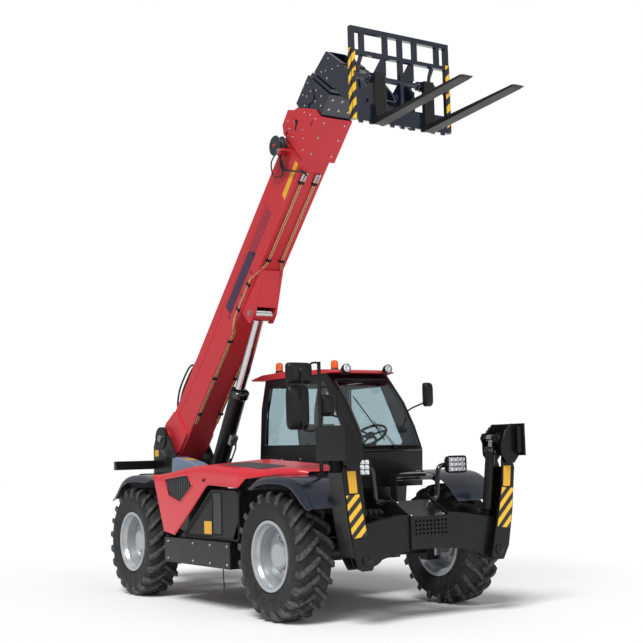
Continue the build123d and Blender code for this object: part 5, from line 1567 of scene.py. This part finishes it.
# ------------------------------------------------------------------ stabilisers
@dataclass
class StabiliserTrim:
    """Bands, plates, ears, pins' caps and the gland of one stabiliser."""

    hand: Hand
    face: float = -1.030
    bands: Outline = ((0.983, 1.18), (0.960, 1.0), (0.925, 0.80), (0.765, 0.82), (0.790, 0.93), (0.842, 1.19))
    plate: Outline = ((0.858, 1.20), (0.945, 1.20), (0.965, 1.395), (0.875, 1.395))
    ear: Outline = (
        (1.045, 1.795), (0.955, 1.800), (0.870, 1.730), (0.815, 1.610), (0.820, 1.500), (0.880, 1.425),
        (0.975, 1.420), (1.045, 1.500),
    )
    gland: Outline = (
        (0.0285, -0.02), (0.050, -0.02), (0.054, -0.012), (0.054, 0.022), (0.048, 0.030), (0.0285, 0.030),
    )
    barrel_foot: Vec = (0.725, -0.915, 0.853)
    barrel_run: Vec = (0.105, 0.0, 0.809)
    barrel_length: float = 0.70

    def upright(self, outline: Outline, y: float, depth: float) -> Part:
        """A plate across the machine: an outline of x and z, thickened forwards from y."""
        side = self.hand.value
        return slab([(side * x, z) for x, z in outline], at(0, y, 0), ACROSS, UP, depth)

    def caps(self) -> Part:
        """A cap and a bolt on both ends of the arm's two pins.

        Returns:
            Points and faces.
        """
        parts = []
        for x, z, radius in ((0.776, 0.602, 0.045), (0.830, 1.662, 0.030)):
            profile = [(ON_AXIS, 0.014), (0.8 * radius, 0.014), (radius, 0.009), (radius, 0.0)]
            for y, out in ((-1.032, -1), (-0.798, 1)):
                place = at(self.hand.value * x, y, z)
                parts.append(turned(profile, place, (0, out, 0), 28))
                parts.append(bolt(place + out * 0.013 * BACKWARDS, (0, out, 0), 0.012))
        return joined(parts)

    def build(self) -> None:
        """Makes one stabiliser's trim."""
        side, word = self.hand.value, self.hand.word
        arm, foot = f"{word}_stabiliser_arm", f"{word}_stabiliser_foot"
        for name, outline, look, depth in (
            ("bands", self.bands, Look.ARM_BANDS, 0.002), ("plate", self.plate, Look.YELLOW, 0.0015),
        ):
            part = self.upright(outline, self.face - (side < 0) * depth, depth)
            emit(f"arm_{name}_{word}", part, look, arm)
        ears = joined([self.upright(self.ear, y, 0.020) for y in (-1.060, -0.790)])
        outward(emit(f"foot_ears_{word}", ears, Look.BLACK, foot, bevel=0.004))
        ribs = joined([sided_box(side, (0.98, y, 1.52), (1.042, y + 0.01, 1.77)) for y in (-1.13, -0.71)])
        emit(f"foot_ribs_{word}", ribs, Look.BLACK, foot, bevel=0.002)
        emit(f"arm_caps_{word}", self.caps(), Look.BLACK, arm)
        run = np.array(self.barrel_run) * (side, 1, 1)
        run /= np.linalg.norm(run)
        x, y, z = self.barrel_foot
        gland = turned(self.gland, at(side * x, y, z) + self.barrel_length * run, tuple(run), 32, closed=True)
        emit(f"stabiliser_gland_{word}", gland, Look.GLOSS, f"{word}_stabiliser_barrel")


# ------------------------------------------------------------------ chassis
@dataclass
class SidePanels:
    """Beads, vent, plates and bolts on the right side, and the cover behind the hood."""

    panel_x: float = -1.110
    box_x: float = -1.150
    panel: Outline = ((0.668, 0.718), (0.668, 1.205), (1.22, 1.212), (1.875, 0.722))
    recess: Outline = ((1.225, 1.165), (1.225, 0.742), (1.80, 0.742))
    vent: Outline = ((1.03, 0.762), (1.03, 1.185), (1.205, 1.185), (1.205, 0.762))
    cover: Outline = (
        (2.566, 1.372), (2.60, 1.44), (2.78, 1.495), (3.18, 1.560), (3.28, 1.545), (3.30, 1.372),
    )
    cover_run: tuple[float, float] = (0.40, 0.065)

    def build(self) -> None:
        """Makes the panels' trim."""
        beads = [ridge([at(self.panel_x, y, z) for y, z in loop], radius, reach) for loop, radius, reach in (
            (self.panel, 0.013, 0.06), (self.recess, 0.008, 0.05), (self.vent, 0.007, 0.02),
        )]
        emit("side_panel_beads", joined(beads), Look.BLACK_PLASTIC, angle=TUBE_ANGLE)
        lows = np.linspace(0.775, 1.165, 20)
        slats = [side_slab(rectangle(1.035, 1.200, z, z + 0.012), -1.1155, -1.1095) for z in lows]
        emit("side_vent", joined(slats), Look.GREY, bevel=0.001)
        plate = side_slab(rectangle(1.245, 1.405, 0.762, 0.892), -1.1125, -1.1095)
        emit("side_plate", plate, Look.YELLOW)
        spots = [at(self.box_x, y, z) for y in (0.86, 1.22, 1.60, 2.18) for z in (0.475, 0.655)]
        emit("side_box_bolts", bolts(spots, tuple(-ACROSS), 0.010), Look.ZINC)
        emit("rear_cover", side_slab(self.cover, -0.550, -0.372), Look.BLUE_GREY, bevel=0.014)
        slope = np.array([0.0, *self.cover_run]) / math.hypot(*self.cover_run)
        plate = slab(rectangle(-0.065, 0.065, -0.055, 0.055), at(-0.46, 2.98, 1.5285), ACROSS, slope, 0.002)
        emit("rear_cover_plate", plate, Look.YELLOW)


@dataclass
class Nose:
    """The screen's ledge, the nose's deck, the hose couplings and the grips."""

    ledge: Outline = ((0.480, 1.560), (0.474, 1.578), (0.500, 1.592), (0.530, 1.592), (0.530, 1.560))
    deck: Outline = ((-0.965, 0.948), (-0.795, 1.036), (-0.700, 1.0968))
    deck_plate: float = 0.010
    deck_half: float = 0.222
    coupling_y: float = -0.70
    grip: Route = ((0.245, -0.745, 0.72), (0.262, -0.800, 0.74), (0.262, -0.800, 0.86), (0.245, -0.745, 0.88))

    def couplings(self) -> None:
        """Four couplings on their plate, each with its hose."""
        parts, hoses = [], []
        for k in range(4):
            place = at(-0.42 - 0.06 * k, self.coupling_y, 1.000)
            neck, tip = place - 0.06 * BACKWARDS, place - 0.09 * BACKWARDS
            parts += [bar(place, neck, 0.016, 6), bar(neck, tip, 0.020, 16)]
            behind = [at(-0.34 - 0.03 * k, -0.45, 0.98), at(-0.28, -0.10 - 0.05 * k, 0.90)]
            hoses.append(hose([place, place + np.array([0, 0.10, 0.02]), *behind], 0.011))
        parts.append(box((-0.64, -0.725, 0.968), (-0.38, -0.700, 1.032)))
        parts.append(box((-0.52, -0.720, 0.80), (-0.48, -0.700, 0.985)))
        emit("coupling_plate", joined(parts), Look.BLACK, bevel=0.002)
        emit("coupling_hoses", joined(hoses), Look.RUBBER, angle=TUBE_ANGLE)

    def build(self) -> None:
        """Makes the nose's trim."""
        emit("screen_ledge", side_slab(self.ledge, 0.30, 1.06), Look.GLOSS, bevel=0.004)
        under = [(y, z - self.deck_plate) for y, z in reversed(self.deck)]
        deck = side_slab([*self.deck, *under], -self.deck_half, self.deck_half)
        emit("nose_deck", deck, Look.GLOSS, bevel=0.003)
        spots = [at(x, y, z) for x in (-0.19, 0.19) for y, z in ((-0.93, 0.967), (-0.73, 1.079))]
        emit("nose_deck_bolts", bolts(spots, (0, -0.5, 0.87), 0.008), Look.ZINC)
        emit("pivot_plate", side_slab(rectangle(4.04, 4.14, 1.575, 1.655), -0.3625, -0.3595), Look.YELLOW)
        self.couplings()
        for hand in Hand:
            grip = tube(places(self.grip, hand.value), 0.02, 0.010)
            emit(f"nose_grip_{hand.word}", grip, Look.BLACK, angle=TUBE_ANGLE)


@dataclass
class Lamps:
    """Headlamps on bent posts, beacons and work lamps."""

    headlamp: Vec = (0.58, -0.640, 1.42)
    half: tuple[float, float] = (0.12, 0.085)
    body: Outline = (
        (0, -0.045), (0.55, -0.045), (0.80, -0.034), (0.95, 0.0), (1.0, 0.03), (1.0, 0.048), (0.965, 0.052),
        (0.93, 0.044), (0, 0.044),
    )
    cell_pitch: tuple[float, float] = (0.052, 0.047)
    cell_half: tuple[float, float] = (0.0235, 0.021)
    cell: Outline = ((0, 0), (1, 0), (1, 0.004), (0.9, 0.006), (0.5, 0.002), (0, 0.001))
    post: Route = ((0.236, -0.62, 1.082), (0.360, -0.62, 1.090), (0.395, -0.62, 1.405), (0.470, -0.62, 1.415))
    post_radius: float = 0.024
    beacons: Route = ((0.330, 2.200, 2.508), (0.640, 1.500, 2.491))
    beacon_base: Outline = ((ON_AXIS, 0.026), (0.043, 0.026), (0.049, 0.014), (0.047, 0.0), (ON_AXIS, 0.0))
    lens: Outline = (
        (ON_AXIS, 0.124), (0.022, 0.121), (0.039, 0.108), (0.043, 0.085), (0.043, 0.036), (0.040, 0.026),
        (ON_AXIS, 0.026),
    )
    work_lamps: Route = ((0.400, 0.935, 2.472), (0.960, 0.935, 2.472))
    work_axis: Vec = (0, -1, 0.1)
    bowl: Outline = (
        (ON_AXIS, 0.030), (0.043, 0.030), (0.044, 0.036), (0.050, 0.034), (0.050, 0.020), (0.048, 0.0),
        (0.040, -0.026), (0.026, -0.040), (ON_AXIS, -0.040),
    )
    glass: Outline = ((ON_AXIS, 0.0315), (0.020, 0.0345), (0.042, 0.0325), (0.042, 0.030))
    yoke: Route = (
        (0.054, 0, 0), (0.058, 0.01, -0.05), (0.0, 0.02, -0.062), (-0.058, 0.01, -0.05), (-0.054, 0, 0),
    )

    def headlamps(self) -> None:
        """A headlamp with three rows of four cells on each bent post."""
        x, y, z = self.headlamp
        wide, high = self.cell_pitch
        for hand in Hand:
            centre = at(hand.value * x, y, z)
            shell = emit(f"headlamp_{hand.word}", dome(centre, self.half, self.body, 7), Look.BLACK_PLASTIC)
            outward(shell)
            cells = []
            for row in range(3):
                for column in range(4):
                    place = centre + np.array([(column - 1.5) * wide, -0.0445, (row - 1) * high])
                    cells.append(dome(place, self.cell_half, self.cell, 5, 16))
            emit(f"headlamp_cells_{hand.word}", joined(cells), Look.LAMP, angle=TUBE_ANGLE)
            tubing = tube(places(self.post, hand.value), 0.05, self.post_radius, 16)
            post = emit(f"lamp_post_{hand.word}", tubing, Look.GLOSS, angle=TUBE_ANGLE)
            if hand is Hand.RIGHT:
                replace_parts(shell, "headlamps")
                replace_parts(post, "headlamps")

    def build(self) -> None:
        """Makes every lamp."""
        self.headlamps()
        spots = places(self.beacons)
        lenses = joined([turned(self.lens, spot, tuple(UP), 36) for spot in spots])
        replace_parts(emit("beacon_lenses", lenses, Look.AMBER, angle=40), "roof_lamps")
        parts = [turned(self.beacon_base, spot, tuple(UP), 36) for spot in spots]
        spots = places(self.work_lamps)
        parts += [turned(self.bowl, spot, self.work_axis, 36) for spot in spots]
        for x, _, _ in self.work_lamps:
            parts.append(box((x - 0.02, 0.950, 2.405), (x + 0.02, 1.02, 2.418)))
        parts += [tube([spot + np.array(q) for q in self.yoke], 0.02, 0.006, 8) for spot in spots]
        emit("roof_lamp_bowls", joined(parts), Look.BLACK_PLASTIC, angle=40)
        faces = joined([turned(self.glass, spot, self.work_axis, 36) for spot in spots])
        emit("roof_lamp_faces", faces, Look.LAMP, angle=50)


@dataclass(frozen=True)
class MirrorHead:
    """One mirror head: the CAD node it belongs to, its place, and half its width and height."""

    node: str
    place: Vec
    half: tuple[float, float]


@dataclass
class Mirrors:
    """Mirror heads with moulded backs, their silvered glass, and bent tube arms."""

    power: float = 6.5
    heads: tuple[MirrorHead, ...] = (
        MirrorHead("mirror_left", (1.135, 0.440, 2.165), (0.060, 0.130)),
        MirrorHead("mirror_right", (-0.952, -0.255, 2.322), (0.145, 0.100)),
        MirrorHead("mirror_right", (-0.972, -0.255, 1.995), (0.124, 0.210)),
        MirrorHead("mirror_right", (-0.645, -0.255, 2.015), (0.082, 0.105)),
    )
    back: Outline = (
        (0, 0.052), (0.30, 0.051), (0.55, 0.047), (0.76, 0.037), (0.90, 0.022), (0.98, 0.006), (1.0, -0.006),
        (1.0, -0.016), (0.97, -0.019), (0.94, -0.014), (0, -0.014),
    )
    glass: Outline = ((0, -0.0138), (0.94, -0.0138), (0.935, -0.0155), (0, -0.0165))
    arms: tuple[Route, ...] = (
        ((-0.965, -0.300, 2.36), (-0.965, -0.324, 2.32), (-0.965, -0.324, 2.10), (-0.965, -0.300, 2.06)),
        ((-0.870, -0.300, 2.37), (-0.850, -0.312, 2.412), (-0.80, -0.29, 2.420), (-0.742, -0.275, 2.420)),
        ((-0.960, -0.300, 1.86), (-0.955, -0.316, 1.78), (-0.86, -0.285, 1.770), (-0.742, -0.275, 1.785)),
        (
            (-0.738, -0.275, 2.19), (-0.60, -0.300, 2.185), (-0.550, -0.300, 2.13), (-0.550, -0.300, 1.90),
            (-0.645, -0.290, 1.93),
        ),
    )
    left_arm: Route = ((1.095, 0.775, 1.99), (1.11, 0.70, 2.03), (1.135, 0.46, 2.09), (1.135, 0.42, 2.13))

    def build(self) -> None:
        """Makes the mirrors with their post and arms."""
        for node in ("mirror_left", "mirror_right"):
            heads = [head for head in self.heads if head.node == node]
            for what, profile, look in (
                ("heads", self.back, Look.BLACK_PLASTIC), ("glass", self.glass, Look.MIRROR),
            ):
                shapes = [dome(at(*head.place), head.half, profile, self.power) for head in heads]
                outward(emit(f"{node}_{what}", joined(shapes), look, angle=50))
        post = box((-0.745, -0.300, 1.366), (-0.733, -0.250, 2.430))
        foot = box((-0.790, -0.310, 1.343), (-0.700, -0.240, 1.372))
        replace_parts(emit("mirror_post", joined([post, foot]), Look.BLACK, bevel=0.002), "mirror_right")
        arms = [tube(places(route), 0.02, 0.010) for route in self.arms]
        emit("mirror_arms_right", joined(arms), Look.BLACK, angle=TUBE_ANGLE)
        foot = box((1.0855, 0.745, 1.950), (1.099, 0.800, 2.010))
        arm = joined([tube(places(self.left_arm), 0.03, 0.009), foot])
        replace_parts(emit("mirror_arm_left", arm, Look.BLACK, angle=TUBE_ANGLE), "mirror_left")


@dataclass
class LiftTrim:
    """The lift cylinder's gland, and the valve block with hoses on its barrel."""

    top: Vec = (0.0, 2.545, 2.300)
    foot: Vec = (0.0, 3.410, 0.950)
    gland: Outline = (
        (0.090, -0.085), (0.098, -0.085), (0.1035, -0.078), (0.1035, -0.012), (0.096, -0.004),
        (0.090, -0.004),
    )
    gland_reach: float = 1.624
    block_reach: float = 1.02
    hose_x: float = 0.03
    hose_steps: Outline = ((-0.04, 0.045), (-0.09, 0.065), (-0.24, 0.050), (-0.46, 0.025), (-0.64, 0.0))

    def build(self) -> None:
        """Makes the lift cylinder's trim."""
        top, foot = at(*self.top), at(*self.foot)
        run = (top - foot) / np.linalg.norm(top - foot)
        out = np.cross(ACROSS, run)
        out = out if out[1] < 0 else -out
        gland = turned(self.gland, foot + run * self.gland_reach, tuple(run), 48, closed=True)
        emit("lift_gland", gland, Look.GLOSS, "lift_barrel")
        middle = foot + run * self.block_reach + out * 0.115
        parts = [slab(rectangle(-0.045, 0.045, -0.06, 0.06), middle - out * 0.02, ACROSS, run, 0.055)]
        for x in (-self.hose_x, self.hose_x):
            for step in (-0.04, 0.04):
                base = middle + ACROSS * x + run * step + out * 0.03
                parts.append(bar(base, base + out * 0.022, 0.013, 6))
        emit("lift_valve", joined(parts), Look.STEEL, "lift_barrel", bevel=0.002)
        hoses = []
        for x in (-self.hose_x, self.hose_x):
            start = middle + ACROSS * x
            hoses.append(hose([start + run * step + out * lift for step, lift in self.hose_steps], 0.010))
        emit("lift_hoses", joined(hoses), Look.RUBBER, "lift_barrel", angle=TUBE_ANGLE)


# ------------------------------------------------------------------ CAD nodes
def dress_frame() -> None:
    """Gives every CAD node that stays its finish."""
    # The boom wears the red that is darkened as painted shade.
    dress(Look.BOOM_RED, "boom_outer")
    dress(Look.BLUE_BLACK, "boom_fourth", "fork_carriage")
    dress(Look.BLACK, "stabiliser_beam", "lift_barrel")
    dress(Look.CAST, "engine_block")
    dress(Look.STEEL, "boom_pivot_pin")
    dress(Look.CHROME, "lift_rod")
    dress(Look.BLACK_PLASTIC, "steering_console")
    dress(Look.SEAT, "driver_seat")
    dress(Look.GLASS, "cab_glass", "door_glass")
    for hand in Hand:
        dress(Look.FORK, f"fork_{hand.word}")
        dress(Look.BLACK, *(f"stabiliser_{piece}_{hand.word}" for piece in ("arm", "foot", "barrel")))
        dress(Look.CHROME, f"stabiliser_rod_{hand.word}")
        dress(Look.STEEL, *(f"knuckle_{axle.word}_{hand.word}" for axle in Axle))
    dress(Look.BLACK, *(f"{axle.word}_axle" for axle in Axle))


def refine_frame() -> None:
    """Rounds the edges of the large plain CAD pieces."""
    refined("boom_second", Look.BLUE_BLACK, "second_boom", bevel=0.004)
    refined("boom_third", Look.BLUE_BLACK, "third_boom", bevel=0.003)
    refined("cab_roof", Look.BOOM_RED, bevel=0.012)
    refined("cab_shell", Look.BLACK, bevel=0.008)
    refined("cab_door", Look.BLACK, "door", bevel=0.004)
    refined("side_box", Look.BLACK, bevel=0.006)
    refined("chassis_frame", Look.BLACK, bevel=0.003)
    refined("nose_tray", Look.BLACK, bevel=0.003)
    refined("tail_bar", Look.BLACK, bevel=0.006)
    refined("counterweight", Look.CAST, bevel=0.010)
    refined("step_tank", Look.BLACK, bevel=0.012)
    refined("side_panel", Look.BLACK_PLASTIC, bevel=0.004)


# ------------------------------------------------------------------ earthing strap
@dataclass
class GroundStrap:
    """The flexible strap that hangs below the side box."""

    diameter: float = 0.012
    route: Route = (
        (-1.105, 1.020, 0.432), (-1.105, 1.020, 0.380), (-1.108, 1.018, 0.330), (-1.104, 1.010, 0.280),
        (-1.110, 1.004, 0.230), (-1.112, 1.000, 0.180),
    )

    def build(self) -> None:
        """Makes a NURBS line through the strap's route, with a round section."""
        curve = bpy.data.curves.new("earthing_strap", "CURVE")
        curve.dimensions = "3D"
        curve.bevel_depth = self.diameter / 2
        curve.bevel_resolution = 4
        curve.use_fill_caps = True
        curve.resolution_u = 24
        spline = curve.splines.new("NURBS")
        spline.points.add(len(self.route) - 1)
        for point, place in zip(spline.points, places(self.route)):
            point.co = (*place, 1.0)
        spline.order_u = 3
        spline.use_endpoint_u = True
        curve.materials.append(Look.RUBBER.value.material())
        strap = placed("earthing_strap", curve)
        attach(strap, "chassis")
        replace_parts(strap, "ground_strap")


# ------------------------------------------------------------------ studio
@dataclass(frozen=True)
class Sun:
    """One lamp: its place, how broad it looks in degrees, and its strength."""

    name: str
    place: Vec
    angle: float
    energy: float


@dataclass
class Studio:
    """The floor, the light and the camera."""

    place: Vec = (-7.068, -9.930, 1.558)
    yaw: float = 33.43
    pitch: float = 6.22
    roll: float = -1.5
    lens: float = 67.77
    reach: float = 60.0
    sky: float = 0.32
    floor_grey: float = 0.93
    suns: tuple[Sun, ...] = (Sun("key", (-6, -5, 10), 25.0, 2.9), Sun("fill", (2, -9, 4), 40.0, 0.5))

    def camera(self) -> None:
        """Places the camera: it looks along yaw and pitch and turns by roll about that line."""
        yaw, pitch, roll = (math.radians(a) for a in (self.yaw, self.pitch, self.roll))
        ahead = np.array([math.sin(yaw) * math.cos(pitch), math.cos(yaw) * math.cos(pitch), math.sin(pitch)])
        right = np.cross(ahead, UP)
        right /= np.linalg.norm(right)
        up = np.cross(right, ahead)
        data = bpy.data.cameras.new("camera")
        data.lens = self.lens
        data.sensor_width = 36.0
        data.clip_end = 200.0
        camera = placed("camera", data)
        c, s = math.cos(roll), math.sin(roll)
        camera.matrix_world = self.stand((c * right + s * up, c * up - s * right, -ahead), at(*self.place))
        bpy.context.scene.camera = camera

    @staticmethod
    def stand(axes: tuple, place: np.ndarray) -> Matrix:
        """The matrix of an object with these three axes at a place."""
        return Matrix([*np.column_stack([*axes, place]).tolist(), (0, 0, 0, 1)])

    def floor(self) -> None:
        """A wide pale floor."""
        corners = [(x, y, 0.0) for x, y in rectangle(-self.reach, self.reach, -self.reach, self.reach)]
        mesh = mesh_of("floor", (np.array(corners), [(0, 1, 2, 3)]))
        material, tree, shader = blank_material("pale_floor")
        colour = (*[self.floor_grey] * 3, 1)
        tree.fill(shader, {"Base Color": colour, "Roughness": 0.9, "Specular IOR Level": 0.1})
        mesh.materials.append(material)
        placed("floor", mesh)

    def light(self) -> None:
        """A pale sky all round that is white where it is seen, one broad key light and a weaker one."""
        world = bpy.data.worlds.new("studio")
        bpy.context.scene.world = world
        world.use_nodes = True
        tree = Tree(world.node_tree)
        path = tree.add("ShaderNodeLightPath").outputs
        seen = tree.reckon("MAXIMUM", path["Is Camera Ray"], path["Is Transmission Ray"])
        strength = tree.add("ShaderNodeMix", {"A": self.sky, "B": 1.0, "Factor": seen}).outputs["Result"]
        tree.fill(world.node_tree.nodes["Background"], {"Color": (1, 1, 1, 1), "Strength": strength})
        for sun in self.suns:
            data = bpy.data.lights.new(sun.name, "SUN")
            data.angle = math.radians(sun.angle)
            data.energy = sun.energy
            place = np.array(sun.place, float)
            axes = (*frame_about(place), place / np.linalg.norm(place))
            placed(sun.name, data).matrix_world = self.stand(axes, place)
        bpy.context.scene.view_settings.view_transform = "Standard"

    def build(self) -> None:
        """Makes the studio."""
        self.floor()
        self.light()
        self.camera()


def main() -> None:
    """Builds the machine's looks, piece by piece."""
    logging.basicConfig(level=logging.WARNING)
    dress_frame()
    refine_frame()
    for axle in Axle:
        for hand in (Hand.LEFT, Hand.RIGHT):
            Wheel(axle, hand).build()
            Mudguard(axle, hand).build()
    for assembly in (Hood, BoomTrim, CarriageTrim, Cab, SidePanels, Nose, Lamps, Mirrors, LiftTrim):
        assembly().build()
    for hand in (Hand.LEFT, Hand.RIGHT):
        StabiliserTrim(hand).build()
    GroundStrap().build()
    Studio().build()


if __name__ == "__main__":
    main()
